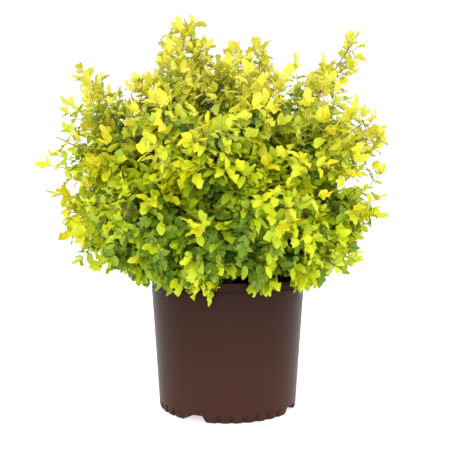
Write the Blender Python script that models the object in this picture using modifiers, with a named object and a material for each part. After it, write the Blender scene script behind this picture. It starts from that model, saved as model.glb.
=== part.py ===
"""Golden Chinese privet in a brown nursery pot: pot, growing mix, trunk, boughs and masses of foliage.

Metres, +Z up. The origin is the centre of the pot's flat underside, and the side seen in front is -Y.
"""

import math
from typing import NamedTuple

import bmesh
import bpy
import numpy as np
from mathutils import Matrix, Vector

# Gap between solids that touch, how near two points are when they are one, and the sharpest smooth edge
SEAT_GAP = 0.0003
CAP_WELD = 1e-6
NEAR_MISSES = (1e-7, 5e-7)
SMOOTH_ANGLE = math.radians(40)

# Nursery pot
POT_HEIGHT = 0.222
RIM_RADIUS = 0.135
FOOT_RADIUS = 0.119
WALL = 0.0026
FLOOR = 0.003
COLLAR_HEIGHT = 0.0137
COLLAR_STEP = 0.0012
LEDGE_RISE = 0.0004
LEDGE_DROP = 0.0006
CAVITY_OVERRUN = 0.001
FOOT_ROUNDING = 0.004
LIP_ROUNDING = 0.0006
POT_STEPS = 48
POT_TAPER = (RIM_RADIUS - FOOT_RADIUS) / POT_HEIGHT

# Drain recesses: arches through the foot that run a little way in under the floor
DRAIN_COUNT = 4
DRAIN_BEARING = 242.8
DRAIN_HEIGHT = 0.011
DRAIN_WIDTH_BELOW = 0.045
DRAIN_WIDTH_ABOVE = 0.031
DRAIN_DEPTH = 0.042
DRAIN_SIDE_SLOPE = 0.6
CUTTER_OVERRUN = 0.01

# Grooves round the foot, between the drain recesses
GROOVES_BETWEEN_DRAINS = 6
GROOVE_PITCH = 9.9
GROOVE_WIDTH = 0.0096
GROOVE_HEIGHT = 0.0145
GROOVE_DEPTH = 0.0018
GROOVE_STANDOFF = 0.0006
GROOVE_DROP = 0.0004

# Growing mix in the pot
MIX_LEVEL = 0.196
MIX_RISE = 0.004
MIX_SHOULDER = (0.75, 0.6)
TRUNK_SEAT_RADIUS = 0.022

# Trunk
TRUNK_HEIGHT = 0.110
FLARE_RADIUS = 0.0125
TRUNK_RADIUS = 0.0078
TRUNK_TAPER = 0.4
TRUNK_LEAN = 0.25
LEADER_POINTS = 5
FLARE_HEIGHT = 0.012

# Boughs and the stems of the masses
STUB_ROOM = 0.002
STUB_RADIUS = 0.0034
BOUGH_FOOT_RADIUS = 0.0030
BOUGH_TIP_RADIUS = 0.0019
STEM_TIP_RADIUS = 0.0013
BOUGH_POINTS = 4
STEM_POINTS = 3
STEM_GAP = 0.0004
BOUGH_BEND = (0.42, 0.55)

# Twigs and leaves of the masses, larger than life so that the crown is closed
TWIG_NODES = (0.25, 0.52, 0.80)
TWIG_LENGTH = 0.082
TWIG_LEAST = 0.020
TWIG_SHORTENING = 0.16
TWIG_UNEVENNESS = 0.15
TWIG_ANGLE = 52.0
TWIG_ANGLE_UNEVENNESS = 8.0
TWIG_RISE = 0.014
TWIG_FOOT_RADIUS = 0.0015
TWIG_TIP_RADIUS = 0.0011
TWIG_SIDES = 3
LEAF_NODES = (0.42, 0.80)
STEM_LEAF_NODES = (0.90,)
LEAF_LENGTH = 0.050
LEAF_UNEVENNESS = 0.12
LEAF_ROOM = 0.008
LEAF_WIDTH_SHARE = 0.56
LEAF_FOLD_SHARE = 0.06
LEAF_WIDEST = 0.46
LEAF_ANGLE = 52.0
LEAF_FOOT_OFFSET = 0.00015
END_LEAF_SINK = 0.0012
LEAF_TRIES = 4
LEAF_SHRINK = 0.86
LIGHT_DEPTH = 0.0
CORE_REACH = 0.090
CORE_INSET = 0.021
CORE_ROUGHNESS = 0.15
CORE_VALLEY = 0.72
CORE_STEPS = 22
CORE_CONE = 22.0
CORE_LEAST = 0.006

# Room kept round limbs, between masses and above the rim
LIMB_ROOM = 0.0075
LIMB_SAMPLES = 40
SPACE_ROOM = 0.0006
POT_ROOM = 0.003

SEED = 7
MOST_DRAWS = 8


class Tier(NamedTuple):
    """One level of masses round the crown, all reached by boughs from one height on the trunk."""

    name: str
    bearings: tuple[float, ...]
    reaches: tuple[float, ...]
    heights: tuple[float, ...]
    fork: float
    lift: float
    enters: float
    middle: float


class Limb(NamedTuple):
    """A bent limb: the three control points of a quadratic curve from its foot to its tip."""

    foot: Vector
    bend: Vector
    tip: Vector


class Mass(NamedTuple):
    """One mass of foliage: its name, the limb that runs to its tip and where on it things lie."""

    name: str
    limb: Limb
    enters: float
    middle: Vector


# The crown leans a little to -X. Bearings run from +X towards +Y, so 270 is the front.
CROWN_SHIFT = Vector((-0.012, 0.0, 0.0))
CROWN_HEART = CROWN_SHIFT + Vector((0.0, 0.0, 0.40))
TIERS = (
    Tier(
        "skirt",
        (322, 20, 80, 145, 205, 262),
        (0.235, 0.255, 0.245, 0.258, 0.232, 0.205),
        (0.248, 0.250, 0.250, 0.262, 0.280, 0.256),
        0.222,
        0.075,
        0.46,
        0.70,
    ),
    Tier(
        "lower",
        (350, 48, 112, 175, 235, 293),
        (0.285, 0.280, 0.275, 0.292, 0.262, 0.262),
        (0.330, 0.335, 0.340, 0.338, 0.335, 0.335),
        0.236,
        0.050,
        0.46,
        0.69,
    ),
    Tier(
        "flank",
        (8, 60, 112, 162, 212, 265, 316),
        (0.300, 0.285, 0.280, 0.290, 0.288, 0.265, 0.280),
        (0.490, 0.450, 0.455, 0.450, 0.445, 0.440, 0.455),
        0.250,
        0.015,
        0.46,
        0.70,
    ),
    Tier(
        "shoulder",
        (346, 30, 104, 176, 235, 290),
        (0.238, 0.250, 0.225, 0.256, 0.205, 0.195),
        (0.634, 0.622, 0.565, 0.596, 0.530, 0.540),
        0.264,
        -0.02,
        0.54,
        0.75,
    ),
    Tier(
        "upper",
        (268, 35, 150),
        (0.090, 0.100, 0.132),
        (0.585, 0.660, 0.668),
        0.292,
        -0.02,
        0.62,
        0.79,
    ),
)
LEADER_TIP = Vector((-0.076, -0.004, 0.677))
LEADER_ENTERS = 0.62
LEADER_MIDDLE = 0.80

# The crown's outline: each height, and how far from its axis leaves reach there
OUTLINE = (
    (0.200, 0.140),
    (0.225, 0.190),
    (0.260, 0.240),
    (0.300, 0.268),
    (0.360, 0.284),
    (0.420, 0.288),
    (0.470, 0.282),
    (0.505, 0.262),
    (0.530, 0.235),
    (0.555, 0.195),
    (0.580, 0.150),
    (0.605, 0.105),
    (0.630, 0.060),
    (0.655, 0.030),
)
PLUME_ROOM = 0.045


def clear_scene():
    """Removes every object of the startup scene."""
    for old in list(bpy.data.objects):
        bpy.data.objects.remove(old, do_unlink=True)


def new_collection(name):
    """A new collection in the scene."""
    collection = bpy.data.collections.new(name)
    bpy.context.scene.collection.children.link(collection)
    return collection


def finish(name, colour, roughness):
    """A plain material with one colour and roughness."""
    material = bpy.data.materials.new(name)
    material.use_nodes = True
    shader = material.node_tree.nodes["Principled BSDF"]
    shader.inputs["Base Color"].default_value = (*colour, 1.0)
    shader.inputs["Roughness"].default_value = roughness
    shader.inputs["Metallic"].default_value = 0.0
    return material


def object_from(name, mesh, collection):
    """A new object for the mesh."""
    piece = bpy.data.objects.new(name, mesh)
    collection.objects.link(piece)
    return piece


def paint(piece, material, smooth=True):
    """Gives the object its one material, and smooth shading where it is round."""
    piece.data.materials.clear()
    piece.data.materials.append(material)
    if smooth:
        piece.data.shade_smooth()
        piece.data.set_sharp_from_angle(angle=SMOOTH_ANGLE)


def evaluated_mesh(piece, weld=0.0):
    """A new mesh of the object as its modifiers or its curve make it, in its own space, welded if asked."""
    bpy.context.view_layer.update()
    graph = bpy.context.evaluated_depsgraph_get()
    mesh = bpy.data.meshes.new_from_object(piece.evaluated_get(graph))
    if weld:
        shape = bmesh.new()
        shape.from_mesh(mesh)
        bmesh.ops.remove_doubles(shape, verts=shape.verts, dist=weld)
        shape.to_mesh(mesh)
        shape.free()
    return mesh


def apply_modifiers(piece, weld=0.0):
    """Gives the object the mesh that its modifiers make, and removes them."""
    mesh = evaluated_mesh(piece, weld)
    piece.modifiers.clear()
    piece.data = mesh


def largest_body(mesh):
    """Leaves only the outer skin of the largest body: scraps and sealed hollows go."""
    shape = bmesh.new()
    shape.from_mesh(mesh)
    shape.verts.ensure_lookup_table()
    unseen = set(shape.verts)
    bodies = []
    while unseen:
        first = unseen.pop()
        body = [first]
        waiting = [first]
        while waiting:
            for edge in waiting.pop().link_edges:
                for vert in edge.verts:
                    if vert in unseen:
                        unseen.remove(vert)
                        body.append(vert)
                        waiting.append(vert)
        bodies.append(body)
    bodies.sort(key=len)
    for body in bodies[:-1]:
        bmesh.ops.delete(shape, geom=body, context="VERTS")
    shape.to_mesh(mesh)
    shape.free()


def is_sound(mesh):
    """True if every edge of the mesh has two faces, also with points that nearly coincide made one."""
    mesh.calc_loop_triangles()
    points = np.empty(len(mesh.vertices) * 3)
    mesh.vertices.foreach_get("co", points)
    faces = np.empty(len(mesh.loop_triangles) * 3, np.int32)
    mesh.loop_triangles.foreach_get("vertices", faces)
    for distance in NEAR_MISSES:
        cells = np.round(points.reshape(-1, 3) / distance)
        merged = np.unique(cells, axis=0, return_inverse=True)[1].reshape(-1)[faces].reshape(-1, 3)
        ends = np.sort(np.concatenate([merged[:, [0, 1]], merged[:, [1, 2]], merged[:, [2, 0]]]), axis=1)
        whole = np.tile((np.diff(np.sort(merged, axis=1)) > 0).all(axis=1), 3)
        if (np.unique(ends[whole], axis=0, return_counts=True)[1] != 2).any():
            return False
    return True


def turned(name, profile, collection, steps=POT_STEPS):
    """A turned solid. The profile runs from the axis out and down its outer side and back to the axis."""
    mesh = bpy.data.meshes.new(name)
    points = [(radius, 0.0, height) for radius, height in profile]
    mesh.from_pydata(points, [(i, i + 1) for i in range(len(points) - 1)], [])
    piece = object_from(name, mesh, collection)
    screw = piece.modifiers.new("Turn", "SCREW")
    screw.steps = steps
    screw.render_steps = steps
    screw.use_merge_vertices = True
    screw.merge_threshold = 1e-6
    screw.use_smooth_shade = False
    apply_modifiers(piece, CAP_WELD)
    return piece


def combine(piece, other, operation, solver="EXACT"):
    """Cuts the object by, or joins it to, another object or a whole collection."""
    boolean = piece.modifiers.new(operation.title(), "BOOLEAN")
    boolean.operation = operation
    boolean.solver = solver
    if isinstance(other, bpy.types.Collection):
        boolean.operand_type = "COLLECTION"
        boolean.collection = other
    else:
        boolean.object = other
    apply_modifiers(piece)


def prism(name, outline, depth, collection):
    """A flat outline in local X and Y, extruded by depth to both sides together."""
    curve = bpy.data.curves.new(name, "CURVE")
    curve.dimensions = "2D"
    curve.fill_mode = "BOTH"
    curve.extrude = depth / 2
    spline = curve.splines.new("POLY")
    spline.points.add(len(outline) - 1)
    for point, (x, y) in zip(spline.points, outline):
        point.co = (x, y, 0.0, 1.0)
    spline.use_cyclic_u = True
    drawn = bpy.data.objects.new(name, curve)
    collection.objects.link(drawn)
    mesh = evaluated_mesh(drawn, CAP_WELD)
    bpy.data.objects.remove(drawn)
    outward(mesh)
    return object_from(name, mesh, collection)


def facing_out(bearing, radius, height):
    """A place at this bearing and radius, its X along the rim, its Y up and its Z pointing out."""
    turn = math.radians(bearing)
    out = Vector((math.cos(turn), math.sin(turn), 0.0))
    along = Vector((-out.y, out.x, 0.0))
    frame = Matrix((along, Vector((0, 0, 1)), out)).transposed().to_4x4()
    return Matrix.Translation(out * radius + Vector((0, 0, height))) @ frame


def drain_blocks(name, growth, outside, collection):
    """One block in the shape of each drain recess, grown by a margin and running out past the foot."""
    below = CUTTER_OVERRUN
    slope = (DRAIN_WIDTH_BELOW - DRAIN_WIDTH_ABOVE) / 2 / DRAIN_HEIGHT
    top = DRAIN_HEIGHT + growth
    half_above = DRAIN_WIDTH_ABOVE / 2 + growth * DRAIN_SIDE_SLOPE
    half_below = half_above + slope * (top + below)
    outline = [(half_below, -below), (half_above, top), (-half_above, top), (-half_below, -below)]
    depth = DRAIN_DEPTH + growth + outside
    for index in range(DRAIN_COUNT):
        bearing = DRAIN_BEARING + index * 360 / DRAIN_COUNT
        block = prism(f"{name}_{index}", outline, depth, collection)
        block.matrix_world = facing_out(bearing, FOOT_RADIUS + outside - depth / 2, 0.0)


def groove_blocks(collection):
    """One round-topped cutter for each groove between the drain recesses."""
    step = 360 / DRAIN_COUNT
    for drain in range(DRAIN_COUNT):
        middle = DRAIN_BEARING + (drain + 0.5) * step
        for groove in range(GROOVES_BETWEEN_DRAINS):
            offset = (groove - (GROOVES_BETWEEN_DRAINS - 1) / 2) * GROOVE_PITCH
            shape = bmesh.new()
            bmesh.ops.create_uvsphere(shape, u_segments=6, v_segments=4, radius=1.0)
            mesh = bpy.data.meshes.new("groove")
            shape.to_mesh(mesh)
            shape.free()
            cutter = object_from("groove", mesh, collection)
            scale = Matrix.Diagonal((GROOVE_WIDTH / 2, GROOVE_HEIGHT, GROOVE_DEPTH, 1.0))
            turn = Matrix.Rotation(math.radians(90), 4, "X")
            place = facing_out(middle + offset, FOOT_RADIUS + GROOVE_STANDOFF, -GROOVE_DROP)
            cutter.matrix_world = place @ scale @ turn


def remove_all(collection):
    """Removes a helper collection and all that is in it."""
    for helper in list(collection.objects):
        bpy.data.objects.remove(helper, do_unlink=True)
    bpy.data.collections.remove(collection)


def inner_radius(height):
    """Radius of the pot's inner side at a height: a straight taper from the foot to the rim."""
    return FOOT_RADIUS - WALL + (POT_TAPER - COLLAR_STEP / POT_HEIGHT) * height


def build_pot(parts, material):
    """The pot: a tapered shell with a stepped collar, drain recesses and grooves round its foot."""
    ledge = POT_HEIGHT - COLLAR_HEIGHT
    collar = RIM_RADIUS - COLLAR_STEP
    rounding = FOOT_ROUNDING * (1 - math.sqrt(0.5))
    pot = turned(
        "pot",
        [
            (0.0, POT_HEIGHT),
            (collar - LIP_ROUNDING, POT_HEIGHT),
            (collar, POT_HEIGHT - LIP_ROUNDING),
            (collar - POT_TAPER * COLLAR_HEIGHT, ledge + LEDGE_RISE),
            (FOOT_RADIUS + POT_TAPER * ledge, ledge - LEDGE_DROP),
            (FOOT_RADIUS + POT_TAPER * FOOT_ROUNDING, FOOT_ROUNDING),
            (FOOT_RADIUS - rounding, rounding),
            (FOOT_RADIUS - FOOT_ROUNDING, 0.0),
            (0.0, 0.0),
        ],
        parts,
    )
    helpers = new_collection("pot helpers")
    cavity = turned(
        "cavity",
        [
            (0.0, POT_HEIGHT + CAVITY_OVERRUN),
            (collar - WALL + LIP_ROUNDING + CAVITY_OVERRUN, POT_HEIGHT + CAVITY_OVERRUN),
            (collar - WALL, POT_HEIGHT - LIP_ROUNDING),
            (inner_radius(FLOOR), FLOOR),
            (0.0, FLOOR),
        ],
        helpers,
    )
    housings = new_collection("drain housings")
    drain_blocks("housing", WALL, CUTTER_OVERRUN, housings)
    combine(cavity, housings, "DIFFERENCE")
    remove_all(housings)
    drain_blocks("drain", 0.0, CUTTER_OVERRUN * 2, helpers)
    groove_blocks(helpers)
    combine(pot, helpers, "DIFFERENCE")
    remove_all(helpers)
    paint(pot, material)


def build_mix(parts, material):
    """The growing mix: a plug that fills the pot to just under its collar, clear of its wall and floor."""
    low = FLOOR + SEAT_GAP
    mix = turned(
        "growing_mix",
        [
            (0.0, MIX_LEVEL + MIX_RISE),
            (TRUNK_SEAT_RADIUS, MIX_LEVEL + MIX_RISE),
            (inner_radius(MIX_LEVEL) * MIX_SHOULDER[0], MIX_LEVEL + MIX_RISE * MIX_SHOULDER[1]),
            (inner_radius(MIX_LEVEL) - SEAT_GAP * 2, MIX_LEVEL),
            (inner_radius(low) - SEAT_GAP * 2, low),
            (0.0, low),
        ],
        parts,
    )
    helpers = new_collection("mix helpers")
    drain_blocks("pocket", WALL + SEAT_GAP, CUTTER_OVERRUN, helpers)
    combine(mix, helpers, "DIFFERENCE")
    remove_all(helpers)
    paint(mix, material)


def point_on(limb, share):
    """The point on a limb at this share of its curve."""
    rest = 1 - share
    return limb.foot * rest**2 + limb.bend * (2 * rest * share) + limb.tip * share**2


def heading_on(limb, share):
    """The unit direction in which a limb grows at this share of its curve."""
    return ((limb.bend - limb.foot) * (1 - share) + (limb.tip - limb.bend) * share).normalized()


def length_of(limb):
    """The length of a limb, from a few chords."""
    points = [point_on(limb, i / 8) for i in range(9)]
    return sum((b - a).length for a, b in zip(points, points[1:]))


def trunk_axis(height):
    """The trunk's middle at a height: it leans a little towards the crown's own middle."""
    rise = (height - MIX_LEVEL) / TRUNK_HEIGHT
    return Vector((CROWN_SHIFT.x * TRUNK_LEAN * rise, 0.0, height))


def trunk_radius(height):
    """The trunk's radius at a height above its flare."""
    rise = (height - MIX_LEVEL) / TRUNK_HEIGHT
    return TRUNK_RADIUS * (1 - TRUNK_TAPER * rise)


def plan_masses():
    """Every mass of the crown with the limb that carries it, worked out tier by tier."""
    masses = []
    for tier in TIERS:
        tips = zip(tier.bearings, tier.reaches, tier.heights)
        for number, (bearing, reach, height) in enumerate(tips, 1):
            turn = math.radians(bearing)
            out = Vector((math.cos(turn), math.sin(turn), 0.0))
            tip = out * reach + CROWN_SHIFT + Vector((0, 0, height))
            axis = trunk_axis(tier.fork)
            bend = axis + out * reach * BOUGH_BEND[0]
            bend.z += (height - axis.z) * BOUGH_BEND[1] + tier.lift
            heading = (bend - axis).normalized()
            level = math.hypot(heading.x, heading.y)
            clear = trunk_radius(tier.fork) + BOUGH_FOOT_RADIUS * heading.z + STUB_ROOM
            foot = axis + heading * (clear / level)
            limb = Limb(foot, bend, tip)
            middle = point_on(limb, tier.middle)
            masses.append(Mass(f"{tier.name}_{number}", limb, tier.enters, middle))
    top = trunk_axis(MIX_LEVEL + TRUNK_HEIGHT)
    leader = Limb(top, Vector((top.x, 0.0, (top.z + LEADER_TIP.z) / 2)), LEADER_TIP)
    masses.append(Mass("top", leader, LEADER_ENTERS, point_on(leader, LEADER_MIDDLE)))
    return masses


def limb_solid(name, points, radii, collection, sides):
    """A tapering limb through points, with a section of four, six or eight sides, as a closed mesh object."""
    curve = bpy.data.curves.new(name, "CURVE")
    curve.dimensions = "3D"
    curve.use_fill_caps = True
    curve.bevel_depth = 1.0
    curve.bevel_resolution = (sides - 4) // 2
    spline = curve.splines.new("POLY")
    spline.points.add(len(points) - 1)
    for knot, point, radius in zip(spline.points, points, radii):
        knot.co = (*point, 1.0)
        knot.radius = radius
    drawn = bpy.data.objects.new(name, curve)
    collection.objects.link(drawn)
    mesh = evaluated_mesh(drawn, CAP_WELD)
    bpy.data.objects.remove(drawn)
    outward(mesh)
    return object_from(name, mesh, collection)


def straight_twig(twig, turn, collection):
    """A straight tapering twig whose flat sides face the leaves that leave it at this turn."""
    along = twig.tip - twig.foot
    shape = bmesh.new()
    bmesh.ops.create_cone(
        shape,
        cap_ends=True,
        segments=TWIG_SIDES,
        radius1=TWIG_FOOT_RADIUS,
        radius2=TWIG_TIP_RADIUS,
        depth=along.length,
    )
    mesh = bpy.data.meshes.new("twig")
    shape.to_mesh(mesh)
    shape.free()
    piece = object_from("twig", mesh, collection)
    rise = along.normalized()
    first = sideways(rise, turn + math.pi / 2)
    frame = Matrix((first, rise.cross(first), rise)).transposed().to_4x4()
    piece.matrix_world = Matrix.Translation((twig.foot + twig.tip) / 2) @ frame


def outward(mesh):
    """Turns every face of a closed mesh outwards."""
    shape = bmesh.new()
    shape.from_mesh(mesh)
    bmesh.ops.recalc_face_normals(shape, faces=shape.faces)
    shape.to_mesh(mesh)
    shape.free()


def stretch(limb, start, end, count):
    """Points along a limb from one share to another."""
    return [point_on(limb, start + (end - start) * i / (count - 1)) for i in range(count)]


def build_trunk(masses, parts, material):
    """The trunk: flared foot, short leaning stem, a stub for each bough, and the leader to the top mass."""
    low = MIX_LEVEL + MIX_RISE + SEAT_GAP
    leader = masses[-1].limb
    stem = [low + FLARE_HEIGHT * 0.4, low + FLARE_HEIGHT, low + TRUNK_HEIGHT * 0.5, MIX_LEVEL + TRUNK_HEIGHT]
    points = [trunk_axis(height) for height in stem]
    points += stretch(leader, 0.0, LEADER_ENTERS, LEADER_POINTS)[1:]
    points.insert(0, Vector((points[0].x, points[0].y, low)))
    radii = [FLARE_RADIUS, FLARE_RADIUS * 0.78, *(trunk_radius(height) for height in stem[1:])]
    radii += list(np.linspace(radii[-1], BOUGH_TIP_RADIUS, LEADER_POINTS)[1:])
    trunk = limb_solid("trunk", points, radii, parts, 8)
    stubs = new_collection("stubs")
    for mass, fork in zip(masses, forks()):
        axis = trunk_axis(fork)
        end = mass.limb.foot - heading_on(mass.limb, 0.0) * SEAT_GAP
        limb_solid("stub", [axis, end], [STUB_RADIUS, BOUGH_FOOT_RADIUS], stubs, 6)
    combine(trunk, stubs, "UNION", "MANIFOLD")
    remove_all(stubs)
    largest_body(trunk.data)
    paint(trunk, material)


def forks():
    """The height on the trunk of each bough, in the order of the masses."""
    return [tier.fork for tier in TIERS for _ in tier.bearings]


def build_bough(mass, parts, material):
    """One bough, from its stub on the trunk to where its mass of foliage starts."""
    points = stretch(mass.limb, 0.0, mass.enters, BOUGH_POINTS)
    radii = np.linspace(BOUGH_FOOT_RADIUS, BOUGH_TIP_RADIUS, BOUGH_POINTS)
    paint(limb_solid(f"bough_{mass.name}", points, radii, parts, 6), material)


class Room:
    """Where the twigs and leaves of one mass may be: its own space, clear of limbs and of the pot."""

    def __init__(self, masses, index):
        """Takes all the masses and the number of this one."""
        middles = np.array([mass.middle for mass in masses])
        others = np.delete(middles, index, axis=0)
        own = middles[index]
        self.normals = (others - own) / np.linalg.norm(others - own, axis=1)[:, None]
        self.offsets = np.einsum("ij,ij->i", (others + own) / 2, self.normals) - SPACE_ROOM
        limbs = [stretch(mass.limb, 0, mass.enters, LIMB_SAMPLES) for mass in masses]
        self.limbs = np.array(limbs).reshape(-1, 3)
        self.own_limb = np.array(stretch(masses[index].limb, masses[index].enters, 1, 12))

    def clear(self, points, inset=0.0):
        """Which of the points lie in the space and in the crown's outline, clear of limbs and pot."""
        free = (points @ self.normals.T < self.offsets).all(axis=1)
        free &= self.gaps(points, self.limbs).min(axis=1) > LIMB_ROOM
        heights, reaches = np.array(OUTLINE).T
        reach = np.hypot(points[:, 0] - CROWN_SHIFT.x, points[:, 1]) + inset
        inside = reach < np.interp(points[:, 2] + inset, heights, reaches, 0.0, 0.0)
        free &= inside | (self.gaps(points, self.own_limb).min(axis=1) < PLUME_ROOM - inset)
        radius = np.hypot(points[:, 0], points[:, 1])
        return free & ((points[:, 2] > POT_HEIGHT + POT_ROOM) | (radius > RIM_RADIUS + POT_ROOM))

    def holds(self, points):
        """True if all the points are clear."""
        return self.clear(np.array(points)).all()

    def gaps(self, points, others):
        """The distance from every point to every one of the others."""
        return np.linalg.norm(points[:, None] - others[None], axis=2)


def leaf_mesh():
    """A leaf one unit long: four faces between the ridge of its midrib and the line across its blade."""
    shape = bmesh.new()
    bmesh.ops.create_cone(shape, cap_ends=True, segments=3, radius1=1.0, radius2=0.0, depth=1.0)
    half = LEAF_WIDTH_SHARE / 2
    corners = (
        (0.0, 0.0, 0.0),
        (LEAF_WIDEST, -half, LEAF_FOLD_SHARE),
        (LEAF_WIDEST, half, LEAF_FOLD_SHARE),
        (1.0, 0.0, 0.0),
    )
    bmesh.ops.remove_doubles(shape, verts=shape.verts, dist=1e-6)
    for vert, corner in zip(shape.verts, corners):
        vert.co = corner
    mesh = bpy.data.meshes.new("leaf")
    shape.to_mesh(mesh)
    shape.free()
    return mesh


def leaf_place(root, direction, normal, length):
    """The matrix that sets the leaf's foot at root, its length along direction and its face to normal."""
    side = normal.cross(direction).normalized()
    face = direction.cross(side).normalized()
    turn = Matrix((direction, side, face)).transposed().to_4x4()
    return Matrix.Translation(root) @ turn @ Matrix.Scale(length, 4)


def blade_points(place):
    """Points spread over a leaf's blade, for the tests of room."""
    shares = [(0.3, 0.0), (0.5, 0.5), (0.5, -0.5), (0.65, 0.0), (0.8, 0.2), (0.8, -0.2), (1.0, 0.0)]
    return [place @ Vector((x, y * LEAF_WIDTH_SHARE, LEAF_FOLD_SHARE * abs(y) * 2)) for x, y in shares]


def sideways(direction, turn):
    """A unit vector square to a direction, turned about it."""
    level = direction.cross(Vector((0, 0, 1)))
    if level.length < 0.1:
        level = Vector((1, 0, 0))
    level.normalize()
    return Matrix.Rotation(turn, 3, direction) @ level


def leaf_pair(limb, share, turn, length):
    """Places of two opposite leaves at one node of a limb."""
    root = point_on(limb, share)
    along = heading_on(limb, share)
    spread = math.radians(LEAF_ANGLE)
    places = []
    for flip in (0.0, math.pi):
        direction = along * math.cos(spread) + sideways(along, turn + flip) * math.sin(spread)
        upper = along * 0.6 + Vector((0, 0, 0.6))
        places.append(leaf_place(root + direction * LEAF_FOOT_OFFSET, direction, upper, length))
    return places


def end_leaf(limb, turn, length):
    """The place of the leaf that ends a limb and carries its line on."""
    along = heading_on(limb, 1.0)
    upper = sideways(along, turn + math.pi / 6)
    return leaf_place(limb.tip - along * END_LEAF_SINK, along, upper, length)


def grow_twig(stem, share, turn, length, spread):
    """A straight side twig that leaves a stem at its angle and leans up towards the light."""
    foot = point_on(stem, share)
    along = heading_on(stem, share)
    direction = along * math.cos(spread) + sideways(along, turn) * math.sin(spread)
    tip = foot + direction * length + Vector((0, 0, TWIG_RISE))
    return Limb(foot, (foot + tip) / 2, tip)


def reach_of(twig):
    """Points along a twig's outer part and on to the tip of a small leaf that ends it."""
    points = stretch(twig, 0.25, 1, 4)
    along = heading_on(twig, 1.0)
    return points + [twig.tip + along * LEAF_LENGTH * share for share in (0.3, 0.6)]


def beyond_core(point, middle, corners):
    """True if a point lies farther out than the corner of the core that is nearest to its direction."""
    out = point - middle
    nearest = max(corners, key=lambda corner: corner.normalized().dot(out))
    return out.length > nearest.length


def fitted(place, room, middle, corners):
    """The leaf made smaller until it fits in the room, if it stands out of the core and in the light."""
    for _ in range(LEAF_TRIES):
        points = blade_points(place)
        if room.holds(points):
            lit = (points[-1] - CROWN_HEART).length > (middle - CROWN_HEART).length + LIGHT_DEPTH
            shown = all(beyond_core(point, middle, corners) for point in points[3:])
            return [place] if lit and shown else []
        place = place @ Matrix.Scale(LEAF_SHRINK, 4)
    return []


def stem_of(mass):
    """The stem of a mass: its limb from where the bough ends to where the end leaf starts."""
    last = 1 - (LEAF_LENGTH - END_LEAF_SINK) / length_of(mass.limb)
    foot = point_on(mass.limb, mass.enters)
    tip = point_on(mass.limb, last)
    first = heading_on(mass.limb, mass.enters)
    return Limb(foot, foot + first * (tip - foot).length / 2, tip)


def grow_mass(mass, room, corners, dice):
    """The twigs and the leaf places of one mass, in opposite pairs, each pair turned on from the last."""
    twigs = []
    leaves = []
    stem = stem_of(mass)
    first_turn = dice.uniform(0, math.pi)
    for node, share in enumerate(TWIG_NODES):
        for flip in (0.0, math.pi):
            turn = first_turn + node * math.pi / 2 + flip
            length = TWIG_LENGTH * (1 - TWIG_SHORTENING * node) * (1 + TWIG_UNEVENNESS * dice.uniform(-1, 1))
            spread = math.radians(TWIG_ANGLE + TWIG_ANGLE_UNEVENNESS * dice.uniform(-1, 1))
            twig = grow_twig(stem, share, turn, length, spread)
            while length > TWIG_LEAST and not room.holds(reach_of(twig)):
                length *= 0.9
                twig = grow_twig(stem, share, turn, length, spread)
            if length > TWIG_LEAST:
                twigs.append(twig)
    turns = dice.uniform(0, math.pi, len(twigs) + 1)
    limbs = [*twigs, stem]
    lengths = LEAF_LENGTH * (1 + LEAF_UNEVENNESS * dice.uniform(-1, 1, len(limbs)))
    lengths[-1] = LEAF_LENGTH
    places = [end_leaf(limb, turn, length) for limb, turn, length in zip(limbs, turns, lengths)]
    for limb, turn, length in zip(limbs, turns, lengths):
        for share in LEAF_NODES if limb is not stem else STEM_LEAF_NODES:
            places += leaf_pair(limb, share, turn, length)
    taken = np.array([point for limb in limbs for point in stretch(limb, 0.1, 1.0, 8)])
    for place in places:
        for leaf in fitted(place, room, mass.middle, corners):
            points = np.array(blade_points(leaf))
            if room.gaps(points, taken).min() > LEAF_ROOM:
                leaves.append(leaf)
                taken = np.concatenate([taken, points])
    return stem, list(zip(twigs, turns)), leaves


def ball(subdivisions):
    """An icosphere of radius one."""
    shape = bmesh.new()
    bmesh.ops.create_icosphere(shape, subdivisions=subdivisions, radius=1.0)
    return shape


def plan_core(mass, room, dice):
    """The corners of a mass's dense heart: as far out as there is room all round, made uneven."""
    fine = ball(3)
    rays = np.array([vert.co.normalized() for vert in fine.verts])
    fine.free()
    to_limbs = room.limbs - np.array(mass.middle)
    spans = np.linalg.norm(to_limbs, axis=1)[:, None]
    rays = np.concatenate([rays, (to_limbs / spans)[spans[:, 0] < CORE_REACH]])
    steps = np.linspace(0.0, CORE_REACH, CORE_STEPS)
    points = np.array(mass.middle) + rays[:, None] * steps[None, :, None]
    free = room.clear(points.reshape(-1, 3), CORE_INSET).reshape(len(rays), -1)
    reach = steps[np.maximum(np.cumprod(free, axis=1).sum(axis=1) - 1, 0)]
    coarse = ball(2)
    turn = Matrix.Rotation(dice.uniform(0, math.pi), 3, "Z")
    corners = []
    for vert in coarse.verts:
        ray = turn @ vert.co.normalized()
        near = rays @ np.array(ray) > math.cos(math.radians(CORE_CONE))
        length = reach[near].min() * (1 - CORE_ROUGHNESS * dice.uniform(0, 1))
        if len(vert.link_edges) > 5:
            length *= CORE_VALLEY
        corners.append(ray * max(length, CORE_LEAST))
    coarse.free()
    return corners


def build_core(corners, middle, collection):
    """The dense heart of a mass as a solid with these corners round its middle."""
    shape = ball(2)
    for vert, corner in zip(shape.verts, corners):
        vert.co = corner
    mesh = bpy.data.meshes.new("core")
    shape.to_mesh(mesh)
    shape.free()
    core = object_from("core", mesh, collection)
    core.matrix_world = Matrix.Translation(middle)


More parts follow.
